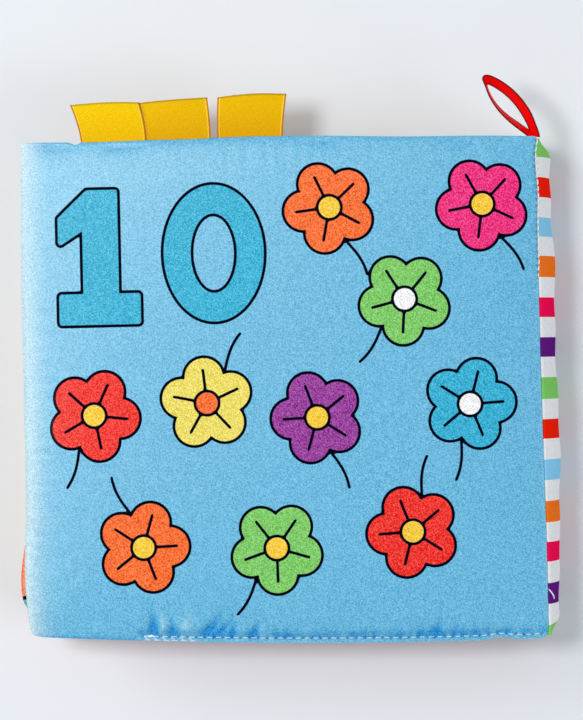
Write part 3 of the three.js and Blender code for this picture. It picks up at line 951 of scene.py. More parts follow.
def closed_layers(outer, inner, rows, columns, flip):
    """Points and faces of two grids, joined by a rim of faces that can have many corners.

    The inner grid has only the given rows and columns of the outer one.
    """
    fine = np.arange(outer[..., 0].size).reshape(outer.shape[:2])
    coarse = fine.size + np.arange(inner[..., 0].size).reshape(inner.shape[:2])
    faces = grid_quads(fine, flip) + grid_quads(coarse, not flip)
    rims = [
        (fine[:, 0], coarse[:, 0], rows, False),
        (fine[:, -1], coarse[:, -1], rows, True),
        (fine[0, :], coarse[0, :], columns, True),
        (fine[-1, :], coarse[-1, :], columns, False),
    ]
    for outside, inside, kept, back in rims:
        for k in range(len(kept) - 1):
            face = [*outside[kept[k] : kept[k + 1] + 1][::-1].tolist(), int(inside[k]), int(inside[k + 1])]
            faces.append(face[::-1] if back != flip else face)
    return np.concatenate([outer.reshape(-1, 3), inner.reshape(-1, 3)]), faces


def cloth_shell(outer, thickness, side, keep_rows=None, keep_columns=None):
    """Points and faces of a thin closed shell under a fine grid.

    The inner layer lies one thickness inside along the normals. It has only the kept lines, or all of
    them where none are given.
    """
    rows = np.arange(outer.shape[0]) if keep_rows is None else np.flatnonzero(keep_rows)
    columns = np.arange(outer.shape[1]) if keep_columns is None else np.flatnonzero(keep_columns)
    inner = sunk_layer(outer - side * thickness * grid_normals(outer), outer, side, rows, columns)
    return closed_layers(outer, inner, rows, columns, side < 0)


def shell_values(outer, inner_count, blank):
    """Values for a shell's points: those of the outer grid, and one blank value on the inner layer."""
    flat = outer.reshape(-1, *outer.shape[2:])
    return np.concatenate([flat, np.full((inner_count, *flat.shape[1:]), blank)])


def lines_across(span, step):
    """Lines across a board: their shares from -1 to 1, how far each is rolled in, and which to keep.

    The middle lines are a step apart and those near an edge close up with the square of their
    number. Past each edge a few more roll into the seam, from 0 on the edge to 1 inside.
    """
    half = span / 2
    near = EDGE_REACH * (np.arange(EDGE_LINES) / EDGE_LINES) ** 2
    count = round((span - 2 * EDGE_REACH) / step)
    middle = np.linspace(-half + EDGE_REACH, half - EDGE_REACH, count + 1)
    places = np.concatenate([near - half, middle, (half - near)[::-1]]) / half
    roll = np.linspace(1, 0, ROLL_LINES, endpoint=False)
    share = np.concatenate([-np.ones(ROLL_LINES), places, np.ones(ROLL_LINES)])
    rolled = np.concatenate([roll, np.zeros(len(places)), roll[::-1]])
    keep = np.ones(len(share), bool)
    inside = slice(ROLL_LINES + EDGE_LINES, len(share) - ROLL_LINES - EDGE_LINES)
    keep[inside] = np.arange(count + 1) % INNER_EVERY == 0
    return SimpleNamespace(share=share, rolled=rolled, keep=keep)


# Puckers along the seams, each as place, reach, depth, width and slant


def random_puckers(seed, start, end, depth, reach):
    """Small puckers at uneven steps along a seam."""
    random = np.random.default_rng(seed)
    places = np.cumsum(random.uniform(1.8, 4.4, int((end - start) / 2.9))) + start
    return [
        (
            place,
            reach * random.uniform(0.4, 1.3),
            depth * random.uniform(0.3, 1),
            random.uniform(0.6, 1.2),
            random.uniform(-0.35, 0.35),
        )
        for place in places[places < end]
    ]


back_bottom_puckers = [
    (36.4, 5.0, 2.0, 1.3, 0.0),
    (39.4, 4.5, -0.6, 1.2, 0.0),
    (42.4, 3.6, 1.4, 1.1, -0.1),
    (45.8, 4.5, -0.6, 1.6, 0.2),
    (51.6, 4.6, 1.9, 1.9, 0.75),
    (55.4, 3.8, 1.5, 1.2, 0.75),
    (59.8, 3.8, 1.2, 1.1, 0.2),
    (63.2, 3.6, -0.3, 1.2, 0.2),
    (66.2, 3.6, 1.3, 1.2, 0.3),
    (121, 3.8, 1.3, 1.6, 0.3),
    (127, 3.0, 1.0, 1.1, 0.1),
]
back_top_puckers = [
    (9, 3.2, 0.28, 6, 0),
    (30, 3.2, 0.2, 7, 0.2),
    (92, 3.5, 0.2, 6, 0.3),
    (132, 3, 0.25, 5, 0),
]


def pucker_relief(along, off, puckers):
    """Valleys that run off from a seam: a bell across each, fading with its reach."""
    relief = np.zeros(along.shape)
    rise = smoothstep(off, 0.5, 1.8)
    for place, reach, depth, width, slant in puckers:
        bell = bump(along, place + slant * (off - CLOSING_INSET), width)
        relief -= depth * bell * rise * np.exp(-((np.maximum(off - CLOSING_INSET, 0) / reach) ** 1.8))
    return relief


# Cloth simulation: lines of its grid, frames, steps of its growth, and its settings
GATHER_LINES = 79
GATHER_FRAMES = 20
GROWTH_LEVELS = 16
gather_settings = {
    "quality": 7,
    "mass": 0.3,
    "tension_stiffness": 15,
    "compression_stiffness": 15,
    "shear_stiffness": 5,
    "bending_stiffness": 0.08,
    "air_damping": 2,
    "vertex_group_mass": "seam",
    "vertex_group_shrink": "growth",
    "shrink_min": -0.003,
    "shrink_max": -0.1,
    "use_pressure": True,
    "uniform_pressure_force": 3,
}


def gathered_cloth():
    """Puckers of a cloth that is gathered into its seams, by simulation, as a grid of heights.

    A sheet over the swell, pinned round its edge and ten times life size, grows along its seams, most
    of all at the bottom, while pressure pushes it up. Its puckers are what is left once a soft
    average of its heights along each seam is taken off, and they are capped.
    """
    shares = np.linspace(-1, 1, GATHER_LINES)
    u, v = np.meshgrid(shares, shares, indexing="ij")
    noise = np.random.default_rng(4).standard_normal(u.shape)
    swell = np.sqrt((1 - np.abs(u) ** SWELL_POWER) * (1 - np.abs(v) ** SWELL_POWER))
    height = (2.6 + 0.03 * noise) * swell
    scale = 10 * MM
    points = np.stack([u * COVER_WIDTH / 2, v * COVER_SPINE_HEIGHT / 2, height], axis=-1) * scale
    index = np.arange(u.size).reshape(u.shape)
    mesh = bpy.data.meshes.new("gathered")
    mesh.from_pydata(points.reshape(-1, 3).tolist(), [], grid_quads(index, False))
    sheet = new_object("gathered", mesh)
    scene = bpy.context.scene
    pinned = sheet.vertex_groups.new(name="seam")
    pinned.add(index[np.maximum(np.abs(u), np.abs(v)) == 1].tolist(), 1.0, "REPLACE")
    off_bottom, off_top = (1 + v) * COVER_SPINE_HEIGHT / 2, (1 - v) * COVER_SPINE_HEIGHT / 2
    off_side = (1 - np.abs(u)) * COVER_WIDTH / 2
    grow = np.exp(-off_bottom / 10) + 0.4 * np.exp(-off_top / 7) + 0.25 * np.exp(-off_side / 7)
    levels = np.clip(np.round(grow * GROWTH_LEVELS), 0, GROWTH_LEVELS).astype(int)
    growing = sheet.vertex_groups.new(name="growth")
    for level in range(1, GROWTH_LEVELS + 1):
        growing.add(index[levels == level].tolist(), level / GROWTH_LEVELS, "REPLACE")
    cloth = sheet.modifiers.new("cloth", "CLOTH")
    for key, value in gather_settings.items():
        setattr(cloth.settings, key, value)
    cloth.settings.effector_weights.gravity = 0
    cloth.collision_settings.use_collision = False
    cloth.point_cache.frame_start, cloth.point_cache.frame_end = 1, GATHER_FRAMES
    for number in range(1, GATHER_FRAMES + 1):
        scene.frame_set(number)
    blown = sheet.evaluated_get(bpy.context.evaluated_depsgraph_get())
    places = np.zeros(3 * u.size, np.float32)
    blown.data.vertices.foreach_get("co", places)
    rise = places.reshape(*u.shape, 3)[..., 2] / scale - height
    scene.frame_set(1)
    bpy.data.objects.remove(sheet)
    bpy.data.meshes.remove(mesh)
    spread = np.exp(-(((shares[:, None] - shares[None, :]) / 0.14) ** 2))
    spread /= spread.sum(axis=1, keepdims=True)
    off_level = np.minimum(off_bottom, off_top)
    from_level = (rise - spread @ rise) * np.exp(-off_level / 30) * smoothstep(off_side, 2, 16)
    from_side = (rise - rise @ spread.T) * np.exp(-off_side / 20) * smoothstep(off_level, 2, 16)
    return np.clip(from_level + 0.6 * from_side, -0.9, 0.5)


gathers = gathered_cloth()


def gathers_at(u, v):
    """Simulated puckers at shares of a board, evenly between the lines of their grid."""
    last = gathers.shape[0] - 1
    at_u, at_v = (u + 1) / 2 * last, (v + 1) / 2 * last
    low_u = np.clip(np.floor(at_u).astype(int), 0, last - 1)
    low_v = np.clip(np.floor(at_v).astype(int), 0, last - 1)
    share_u, share_v = at_u - low_u, at_v - low_v
    low = gathers[low_u, low_v] * (1 - share_u) + gathers[low_u + 1, low_v] * share_u
    high = gathers[low_u, low_v + 1] * (1 - share_u) + gathers[low_u + 1, low_v + 1] * share_u
    return low * (1 - share_v) + high * share_v


middle_tab_from = TAB_INSET + TAB_WIDTH + CLEARANCE
right_tab_from = middle_tab_from + TAB_WIDTH + TAB_SPACE
spine_row_length = COVER_SPINE_HEIGHT - 2 * COVER_CORNER_RADIUS
spine_row_start = spine_y - spine_row_length / 2


def spine_hole_shade(y, from_spine):
    """Needle holes in the back cover's spine edge, where its upper stitches dive in, painted as shade."""
    past = (y - spine_row_start + (SPINE_PITCH - SPINE_LENGTH) / 2 + SPINE_PITCH / 2) % SPINE_PITCH
    shown = smoothstep(along_spine(y), *SPINE_SHOWN)
    return shown * bump(past, SPINE_PITCH / 2, 0.42) * bump(from_spine, 0.1, 0.6)


def closing_holes(board):
    """Places of the needle holes of the closing stitch, from the fore edge."""
    count = round((board.width - CLOSING_END - CLOSING_START) / CLOSING_PITCH)
    return CLOSING_START + CLOSING_PITCH * np.arange(count + 1)


def cloth_height(board, side, u, v):
    """Height of a cloth over its board's middle, with the shade painted in its folds, the highlight painted
    on its crests, and its needle holes, dented and painted as shade.

    The closing stitch holds it down along the bottom seam, from where it rises steeply to the swell.
    Simulated puckers and single ones are let into it.
    """
    outside = board is back_cover and side > 0
    along = (1 + u) * board.width / 2
    off = (1 + v) * board.spine_height / 2
    down = (1 - v) * board.spine_height / 2
    from_spine = (1 - u) * board.width / 2
    seed = int(10 * board.z) + side
    if outside:
        bottom = back_bottom_puckers + random_puckers(seed, 70, 150, 0.8, 2.4)
        top, most = back_top_puckers, 0.5
    else:
        bottom = random_puckers(seed, CLOSING_START, board.width - 4, 0.6, 2.6)
        top, most = random_puckers(seed + 1, 4, board.width - 4, 0.3, 2.4), 0.08
    valleys = pucker_relief(along, off, bottom) + pucker_relief(along, down, top)
    valleys += pucker_relief(off, from_spine, random_puckers(seed + 2, 4, board.spine_height - 4, 0.2, 2.0))
    gathered = np.clip(gathers_at(u * side, v), -0.8, most) * (1 - 0.65 * smoothstep(v, 0.2, 0.8))
    holes = closing_holes(board)
    number = np.clip(np.round((along - holes[0]) / CLOSING_PITCH), 0, len(holes) - 1)
    nearest = along - holes[0] - number * CLOSING_PITCH
    sewn = smoothstep(along, CLOSING_START - 3, CLOSING_START)
    # Needle holes: a small dent in the height, and painted shade in the colour
    hole_dent_and_shade = sewn * bump(nearest, 0, 0.38) * bump(off, CLOSING_INSET, 0.4)
    free = 1 - sewn * (1 - smoothstep(off, CLOSING_INSET - 0.3, SEWN_REACH))
    full = face_height(board, u, v, CROWN_POWER if outside else SWELL_POWER) + gathered + valleys
    height = SEWN_HEIGHT + (full - SEWN_HEIGHT) * free
    height = np.maximum(height, 0.3) - 0.2 * hole_dent_and_shade
    # Painted shade in the fold value: a scalloped band on the slope just above the closing stitch, a band
    # along the bottom edge past it, and the valleys of the single and simulated puckers. Crests between
    # valleys get a negative value, a painted highlight.
    scallop = 0.32 + 0.24 * np.sin(along / 1.3 + 2 * np.sin(along / 4.7))
    stitch_slope_shade = sewn * scallop * bump(off, CLOSING_INSET + 1.0, 1.4) + 0.35 * (1 - sewn) * bump(off, 0.2, 0.8)
    fold = np.clip(-np.minimum(valleys, 0) - 0.5 * np.minimum(gathered, 0) + stitch_slope_shade, 0, 1)
    fold -= 0.5 * np.maximum(valleys, 0)
    # Painted shade in the needle holes of the spine edge
    if outside:
        hole_dent_and_shade = np.maximum(hole_dent_and_shade, spine_hole_shade(spine_y + v * board.spine_height / 2, from_spine))
    return height, fold, hole_dent_and_shade


def seam_lift(board, along, v):
    """Share of its roll by which the back cover's top seam stays open round the ribbons in it."""
    spans = [(TAB_INSET, middle_tab_from + TAB_WIDTH), (right_tab_from, right_tab_from + TAB_WIDTH)]
    open_share = np.zeros(along.shape)
    if board is back_cover:
        for start, end in spans:
            open_share += smoothstep(along, start - 1.5, start) * (1 - smoothstep(along, end, end + 1.5))
    return 0.6 * np.minimum(open_share, 1) * (v > 0.5)


def cloth_points(board, side, rows, columns):
    """Outer face of one cloth as a grid: the swell, its relief, and the edges rolled into the seam."""
    u, v = np.meshgrid(rows.share, columns.share, indexing="ij")
    roll_u, roll_v = np.meshgrid(rows.rolled, columns.rolled, indexing="ij")
    x, y = plan(board, u, v)
    height, fold, hole_dent_and_shade = cloth_height(board, side, u, v)
    along = (1 + u) * board.width / 2
    furthest = np.arcsin(1 - seam_lift(board, along, v))
    radius = np.minimum(ROLL_RADIUS, height - 0.05)
    height = height - radius * np.sin(np.maximum(roll_u, roll_v) * furthest)
    x = x - np.sign(u) * ROLL_RADIUS * (1 - np.cos(roll_u * furthest))
    y = y - np.sign(v) * ROLL_RADIUS * (1 - np.cos(roll_v * furthest))
    z = np.maximum(board.z + side * height, board.lowest)
    return np.stack([x, y, z], axis=-1), fold, hole_dent_and_shade


def add_cloth(board, side, word):
    """One printed cloth of a board: a page, or the outside of a cover."""
    outside = word == "outside"
    step = COVER_STEP if outside else PAGE_STEP
    rows = lines_across(board.width, step)
    columns = lines_across(board.spine_height, step)
    outer, fold, hole_dent_and_shade = cloth_points(board, side, rows, columns)
    points, faces = cloth_shell(outer, CLOTH_THICKNESS, side, rows.keep, columns.keep)
    inner_count = len(points) - outer.shape[0] * outer.shape[1]
    middle = board.spine_at(spine_y, board.z) - board.width / 2
    place = side * (outer[..., 0] - middle), outer[..., 1]
    fields = cover_prints[board.name](*place) if outside else page_print(*place, f"{board.name}_{word}")
    from_fore = (1 + rows.share[:, None]) * board.width / 2 * np.ones(columns.share.shape)
    # Painted sheen: paler colour towards the covers' fore edge, standing in for light on its rolled rim
    fade = outside * (EDGE_SHEEN * bump(from_fore, 0, EDGE_SHEEN_REACH) + RIM_SHEEN * bump(from_fore, 0, RIM_SHEEN_REACH))
    fields |= {"fold": fold, "fade": fade, "hole": hole_dent_and_shade}
    blanks = {"ink": FAR, "fill": FAR, "motif": WHITE, "ground": WHITE}
    values = {key: shell_values(field, inner_count, blanks.get(key, 0)) for key, field in fields.items()}
    node = f"{board.name}_{word}_cloth"
    material = cover_material if outside else page_material
    piece = mesh_piece(node + "_satin", points, faces, material, values)
    join_book(piece, board.name, node)


def add_wadding(board):
    """Padding of a board: the same swell one depth inside the cloths, closed round its edge."""
    reach = 1 - WADDING_INSET / (board.width / 2)
    counts = [round(span / WADDING_STEP) for span in (board.width, board.spine_height)]
    lines = [reach * np.sin(np.linspace(-math.pi / 2, math.pi / 2, count)) for count in counts]
    u, v = np.meshgrid(*lines, indexing="ij")
    x, y = plan(board, u, v)
    layers = []
    for side in (1, -1):
        power = CROWN_POWER if board is back_cover and side > 0 else SWELL_POWER
        height = np.maximum(face_height(board, u, v, power) - board.wadding_depth, 0.1)
        z = np.maximum(board.z + side * height, board.lowest + board.wadding_depth)
        layers.append(np.stack([x, y, z], axis=-1))
    points, faces = closed_layers(*layers, *(np.arange(count) for count in counts), False)
    piece = mesh_piece(board.name + "_padding", points, faces, wadding_material)
    join_book(piece, board.name, board.name + "_wadding")
    return piece


def add_stitches(board, row, starts, ends, ups, thick, rise=STITCH_RISE, dip=STITCH_DIP):
    """A row of stitches: short threads that arch over the cloth and dive into it at both ends.

    Each is a tube of six sides along a straight run, lifted by a half wave of a sine, and a little
    thinner at its ends.
    """
    shares = np.linspace(0, 1, STITCH_RINGS)
    angles = np.linspace(0, 2 * math.pi, STITCH_CORNERS, endpoint=False)
    along = ends - starts
    sides = unit(np.cross(ups, along))
    arch = np.sin(math.pi * shares) ** 0.6
    lift = rise * arch - dip * (1 - arch)
    centres = starts[:, None] + along[:, None] * shares[:, None] + ups[:, None] * lift[:, None]
    radius = thick * (0.7 + 0.3 * arch)
    ring = np.cos(angles)[:, None] * sides[:, None, None] + np.sin(angles)[:, None] * ups[:, None, None]
    points = centres[:, :, None] + radius[None, :, None, None] * ring
    name = f"{board.name}_{row}"
    piece = mesh_piece(name + "_threads", points.reshape(-1, 3), tube_faces(points), thread_material)
    join_book(piece, board.name, name + "_stitch")


def on_cloth(board, side, along, off):
    """A point on a cloth, at a distance from the fore edge and one from the bottom seam."""
    u = np.asarray(along, float) / (board.width / 2) - 1
    v = np.asarray(off, float) / (board.spine_height / 2) - 1
    x, y = plan(board, u, v)
    height, _, _ = cloth_height(board, side, u, v)
    z = np.maximum(board.z + side * height, board.lowest)
    return np.stack([x, y, z], axis=-1)


def add_closing_stitches(board, side):
    """Closing stitch along the bottom seam, with a short second row and slanted threads at its start."""
    holes = closing_holes(board)
    gap = (CLOSING_PITCH - CLOSING_LENGTH) / 2
    second = CLOSING_START + np.arange(0, BACK_TACK_LENGTH, CLOSING_PITCH)
    slanted_end = second + CLOSING_PITCH / 2 + gap
    low = CLOSING_INSET - BACK_TACK_SPACE
    counts = [len(holes) - 1, len(second), len(second)]
    starts, ends = (
        on_cloth(board, side, np.concatenate(along), np.repeat(off, counts))
        for along, off in [
            ([holes[:-1] + gap, second + gap, second + gap], [CLOSING_INSET, low, CLOSING_INSET]),
            ([holes[1:] - gap, second + CLOSING_PITCH - gap, slanted_end], [CLOSING_INSET, low, low]),
        ]
    )
    ups = np.tile([0, 0, float(side)], (len(starts), 1))
    add_stitches(board, "closing", starts, ends, ups, CLOSING_RADIUS)


# Loose thread on the strip: its start, its end and the way that it stands off
loose_thread = [(78.2, -62.3, 31.3), (79.9, -65.3, 30.6), (0.6, 0, 0.8)]


def add_spine_stitches(board, side):
    """Topstitch that holds the strip to a cover, in the dip between the two.

    Below its upper part, the back cover's edge hides it.
    """
    places = spine_row_start + np.arange(0, spine_row_length, SPINE_PITCH)
    across = CLEARANCE - 0.08

    def point(y):
        up = along_spine(y)
        hidden = (1 - smoothstep(up, *SPINE_SHOWN)) * (board is back_cover)
        pull = spine_pull(up) * (board is back_cover) + SPINE_TUCK * hidden
        level = board.z + side * (CLEARANCE + THREAD_SPACE - SPINE_SINK * hidden)
        return np.stack([cover_spine_at(y) + across - pull, y, level], axis=-1)

    ups = unit(np.tile([0.25, 0, float(side)], (len(places), 1)))
    starts, ends = point(places), point(places + SPINE_LENGTH)
    if board is back_cover:
        rows = zip((starts, ends, ups), loose_thread)
        starts, ends, ups = (np.concatenate([row, [end]]) for row, end in rows)
    add_stitches(board, "spine", starts, ends, ups, SPINE_RADIUS)


def add_leaf_stitches(board):
    """Threads between a leaf's spine edge and the strip, a little sunk into the edge."""
    length = board.spine_height - 2 * board.corner_radius
    places = spine_y - length / 2 + np.arange(0, length - LEAF_PITCH, LEAF_PITCH)

    def point(y):
        return np.stack([leaf_thread_at(y, board.z) - LEAF_TUCK, y, np.full(y.shape, board.z)], axis=-1)

    ups = np.tile([1.0, 0, 0], (len(places), 1))
    ends = point(places + LEAF_STITCH_LENGTH)
    add_stitches(board, "spine", point(places), ends, ups, LEAF_RADIUS, LEAF_RISE, LEAF_DIP)


# Boards


def add_board(board, words, side):
    """Padding, lower and upper cloth, and the closing and the spine stitch on one side of a board."""
    padding = add_wadding(board)
    for face, word in zip((-1, 1), words):
        add_cloth(board, face, word)
    add_closing_stitches(board, side)
    if "outside" in words:
        add_spine_stitches(board, side)
    else:
        add_leaf_stitches(board)


add_board(front_cover, ("outside", "inside"), -1)
for leaf in leaves:
    add_board(leaf, ("front", "back"), 1)
add_board(back_cover, ("inside", "outside"), 1)


# Striped strip, in five lengths of cloth that meet at the middle of each board

# How far the strip's cloth goes in and past the cover's level where it turns into the seam
seam_turn = np.array([(-0.1, 0.16), (-0.34, 0.27), (-0.7, 0.24), (-1.1, 0.08), (-2.2, 0), (-4.2, 0)])
# Single folds across the strip: how far each stands out, its place and its width
strip_folds = [(1.5, 68.5, 5), (-0.6, 50, 6), (0.5, -26, 14), (1.0, -71.5, 3), (-0.5, -63, 5)]


def strip_points(levels, seam):
    """Outer face of the strip between levels, with shallow folds and its ends drawn in.

    Past a cover's level, where seam is its side, the cloth turns in and runs into the cover's seam.
    """
    low = spine_y - COVER_SPINE_HEIGHT / 2 + STRIP_BOTTOM_SHORT
    high = spine_y + COVER_SPINE_HEIGHT / 2 - STRIP_TOP_SHORT
    z, y = np.meshgrid(levels, np.linspace(low, high, STRIP_LINES), indexing="ij")
    from_end = np.minimum(y - low, high - y)
    pinch = np.where(y > 0, STRIP_END_PINCH_SHARE, STRIP_LOW_PINCH_SHARE)
    drawn = 1 - pinch * (1 - np.clip(from_end / STRIP_END_REACH, 0, 1)) ** 2.6
    pull = spine_pull(along_spine(y)) * smoothstep(z, strip_mid_z, back_z)
    seam_x = cover_spine_at(y) + CLEARANCE
    bulge = strip_inner_at(y, z) - seam_x - strip_drawn_at(z)
    middle = np.clip(1 - ((z - strip_mid_z) / strip_half_span) ** 2, 0, 1)
    folds = 0.2 * np.sin(y / 3.1 + 0.15 * z) + 0.22 * np.sin(y / 8.3 + 1.2 + 0.1 * z)
    folds += bumps(y, strip_folds)
    x = seam_x - pull + bulge * drawn + STRIP_THICKNESS + folds * middle * drawn
    points = np.stack([x, y, z], axis=-1)
    if seam == 0:
        return points
    edge = points[-1 if seam > 0 else 0]
    deep = np.where(seam_turn[:, :1] < -1, 0.3 + 0.7 * smoothstep(from_end[0], 0, 6), 1)
    inward, past = seam_turn[:, :1] * deep, seam * seam_turn[:, 1:]
    turned = np.stack([edge[:, 0] + inward, edge[:, 1] + 0 * deep, edge[:, 2] + past], axis=-1)
    return np.concatenate([points, turned] if seam > 0 else [turned[::-1], points])


def strip_blocks(points):
    """Number of blocks down the strip at each point, with a slant and a short block at its lower end."""
    y, z = points[..., 1], points[..., 2]
    down = FIRST_BLOCK_TOP - y + 0.18 * np.sin(y / 5) + 1.1 * bump(y, 15, 60)
    slant = smoothstep(-y, 70, 77) * (0.8 + 0.25 * (z - back_z))
    number = (down - slant) / BLOCK_LENGTH
    return np.clip(number + 0.8 * np.maximum(number - 24, 0), 0.001, 25.6)


def add_strip():
    """The strip's five lengths, each spanning one hinge between two boards."""
    boards = [front_cover, *leaves, back_cover]
    for number, (low, high) in enumerate(zip(boards[:-1], boards[1:]), start=1):
        seam = {1: -1, len(boards) - 1: 1}.get(number, 0)
        outer = strip_points(np.linspace(low.z, high.z, STRIP_LEVELS), seam)
        points, faces = cloth_shell(outer, STRIP_CLOTH, -1)
        path = np.linalg.norm(np.diff(outer, axis=0, prepend=outer[:1]), axis=2).cumsum(axis=0)
        uv = np.tile(np.stack([path, outer[..., 1]], axis=-1).reshape(-1, 2), (2, 1))
        values = {"block": np.tile(strip_blocks(outer).ravel(), 2)}
        piece = mesh_piece(f"spine_strip_length_{number}", points, faces, strip_material, values, uv)
        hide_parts("spine_strip")
        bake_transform(piece)


add_strip()


# Ribbon tabs and loop


def top_edge_at(from_fore):
    """Height of the back cover's top edge at a distance from its fore edge."""
    out = 1 - from_fore / COVER_WIDTH
    across = 1 - 2 * out
    height = COVER_SPINE_HEIGHT + (COVER_FORE_HEIGHT - COVER_SPINE_HEIGHT) * out
    bow = TOP_BOW * (1 - across**2)
    return spine_y + COVER_LIFT * out + height / 2 + bow - tab_edge_dip(from_fore)


def add_tab(node, material, from_fore, reach, lean, rise, arch, curl, tuck=0):
    """A folded ribbon: up the back, round the fold and down the front, between its woven edges.

    It leans by a power of the share of its reach, its fold arches by a sine across it, and it curls
    up by the square of that share. With tuck, its left edge lies under the tab before it.
    """
    turn = TAB_SLIT / 2 + TAB_RIBBON / 2
    straight = np.linspace(-TAB_TUCK, reach - turn, TAB_RISE_LINES)
    bend = np.linspace(-math.pi / 2, math.pi / 2, TAB_FOLD_LINES)[1:-1]
    up = np.concatenate([straight, reach - turn + turn * np.cos(bend), straight[::-1]])
    back = np.full(TAB_RISE_LINES, -turn)
    through = np.concatenate([back, turn * np.sin(bend), -back])
    path = np.concatenate([[0], np.cumsum(np.hypot(np.diff(up), np.diff(through)))])
    share, across = np.meshgrid(up / reach, np.linspace(0, 1, TAB_LINES), indexing="ij")
    bounded = np.clip(share, 0, 1)
    along = from_fore + across * TAB_WIDTH
    x = cover_spine_x - COVER_WIDTH + along + lean * bounded**1.6 + 1.1 * bounded * (across - 0.5)
    tall = share * (reach + rise * across + arch * np.sin(math.pi * across))
    y = top_edge_at(along) + tall
    edge = 0.12 * bump(np.minimum(across, 1 - across) * TAB_WIDTH, 0.5, 0.35)
    z = back_z + through[:, None] * (1 + edge / turn) + curl * bounded**2
    z = z + 0.5 * bounded * np.sin(math.pi * across) - tuck * (1 - across) ** 6
    centre = np.stack([x, y, z], axis=-1)
    points, faces = cloth_shell(centre - grid_normals(centre) * TAB_RIBBON / 2, TAB_RIBBON, -1)
    uv = np.stack(np.broadcast_arrays((across - 0.5) * TAB_WIDTH, path[:, None] - path[-1] / 2), axis=-1)
    piece = mesh_piece(node + "_ribbon", points, faces, material, uv=np.tile(uv.reshape(-1, 2), (2, 1)))
    join_book(piece, "back_cover", node)


add_tab("tab_left", light_yellow_material, TAB_INSET, reach=11.2, lean=-2.45, rise=0.1, arch=0.45, curl=0.4)
add_tab(
    "tab_middle", yellow_material, middle_tab_from - 0.5,
    reach=11.2, lean=-1.35, rise=1.0, arch=0.2, curl=0.0, tuck=0.6,
)
add_tab("tab_right", yellow_material, right_tab_from, reach=12.0, lean=0.85, rise=0.5, arch=0.45, curl=0.6)


def add_loop():
    """The loop's ribbon on its edge, as a thick flat band along a lens, blunt at its tip.

    Both sides of the lens are a power of a sine, fuller towards the tip on the left. The ribbon's
    upper edge leans out from the loop, far on its right side and its tip and hardly on its left, and
    its ends go down into the seam.
    """
    angle = np.linspace(LOOP_GAP, 2 * math.pi - LOOP_GAP, LOOP_RINGS)
    t = (1 - np.cos(angle)) / 2
    right_side = np.sin(angle) > 0
    skew = np.where(right_side, LOOP_SKEW_RIGHT, LOOP_SKEW_LEFT)
    aside = np.where(right_side, 1, -1) * LOOP_HALF_WIDTH * np.sin(math.pi * t**skew) ** LOOP_BLUNT_POWER
    ahead = np.array([math.cos(LOOP_DIRECTION), math.sin(LOOP_DIRECTION)])
    right = np.array([ahead[1], -ahead[0]])
    flat = np.array(LOOP_SEAT) + t[:, None] * LOOP_LENGTH * ahead + aside[:, None] * right
    level = back_z - LOOP_TUCK * (1 - smoothstep(t, 0, 0.3)) - LOOP_DROOP * t**2
    line = np.column_stack([flat, level])
    tangent = unit(np.gradient(line, axis=0))
    outward = np.column_stack([tangent[:, 1], -tangent[:, 0], np.zeros(len(t))])
    round_share = angle / (2 * math.pi)
    lean = np.radians(28 - 17 * smoothstep(round_share, 0.5, 0.6) + 20 * smoothstep(round_share, 0.6, 0.95))
    wide = np.sin(lean)[:, None] * outward + np.cos(lean)[:, None] * np.array([0, 0, 1])
    thick = unit(np.cross(tangent, wide))
    turns = np.linspace(0, 2 * math.pi, LOOP_CORNERS, endpoint=False)
    across = np.sign(np.cos(turns)) * np.abs(np.cos(turns)) ** 0.4 * LOOP_RIBBON_WIDTH / 2
    through = np.sign(np.sin(turns)) * np.abs(np.sin(turns)) ** 0.5 * LOOP_RIBBON_THICKNESS / 2
    points = line[:, None] + across[:, None] * wide[:, None] + through[:, None] * thick[:, None]
    path = np.concatenate([[0], np.cumsum(np.linalg.norm(np.diff(line, axis=0), axis=1))])
    uv = np.stack(np.broadcast_arrays(across[None, :], path[:, None]), axis=-1).reshape(-1, 2)
    faces = tube_faces(points[None])
    piece = mesh_piece("hang_loop_ribbon", points.reshape(-1, 3), faces, red_material, uv=uv)
    join_book(piece, "back_cover", "hang_loop")


add_loop()


# Floor, light and camera

VIEW_HEIGHT = 216.9
VIEW_CENTRE = (2.15, 8.39)
CAMERA_RISE = 1000
CAMERA_ROLL = -1.27
FLOOR_SIZE = 4000
WARM_LIGHT = (1.0, 0.99, 0.97)


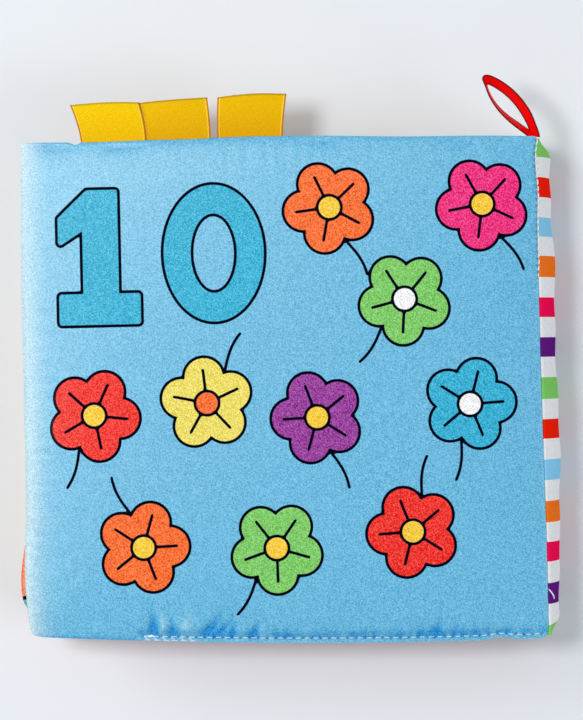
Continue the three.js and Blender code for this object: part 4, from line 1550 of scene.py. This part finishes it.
def add_floor():
    """A wide pale table top under the book."""
    half = FLOOR_SIZE / 2
    corners = [(-half, -half, 0), (half, -half, 0), (half, half, 0), (-half, half, 0)]
    material, add, shader, links = node_tool("pale_table_top")
    cloud = add("ShaderNodeTexNoise", Vector=add("ShaderNodeTexCoord").outputs["Object"], Scale=6)
    colour = mixed_colour(add, cloud.outputs["Fac"], linear(233, 238, 244), linear(237, 242, 248))
    links.new(colour, shader.inputs["Base Color"])
    shader.inputs["Roughness"].default_value = 0.7
    shader.inputs["Specular IOR Level"].default_value = 0.2
    floor = mesh_piece("table_top", corners, [(0, 1, 2, 3)], material)


def add_lamp(name, place, size, power, colour=(1, 1, 1)):
    """A soft square lamp that points at the book."""
    data = bpy.data.lights.new(name, "AREA")
    data.size = size * MM
    data.energy = power
    data.color = colour
    lamp = new_object(name, data)
    lamp.location = [value * MM for value in place]
    lamp.rotation_euler = (-lamp.location).to_track_quat("-Z", "Y").to_euler()


def add_camera():
    """Camera straight above the book, rolled by the small turn of the book in its frame."""
    data = bpy.data.cameras.new("above")
    data.lens = data.sensor_width * CAMERA_RISE / VIEW_HEIGHT
    camera = new_object("above", data)
    camera.location = (VIEW_CENTRE[0] * MM, VIEW_CENTRE[1] * MM, (back_z + CAMERA_RISE) * MM)
    camera.rotation_euler = (0, 0, math.radians(CAMERA_ROLL))
    bpy.context.scene.camera = camera


def set_world(strength, colour):
    """Even light from all round."""
    world = bpy.data.worlds.new("soft_room")
    world.use_nodes = True
    background = world.node_tree.nodes["Background"]
    background.inputs["Color"].default_value = (*colour, 1)
    background.inputs["Strength"].default_value = strength
    bpy.context.scene.world = world


add_floor()
add_lamp("high_lamp", (-430, 150, 1250), size=260, power=6.7, colour=WARM_LIGHT)
add_lamp("window_lamp", (-1150, 500, 800), size=700, power=6.3, colour=WARM_LIGHT)
add_lamp("fill_lamp", (1050, -350, 1000), size=700, power=4.3)
set_world(strength=0.38, colour=(0.95, 0.97, 1.0))
add_camera()
bpy.context.scene.view_settings.view_transform = "Standard"
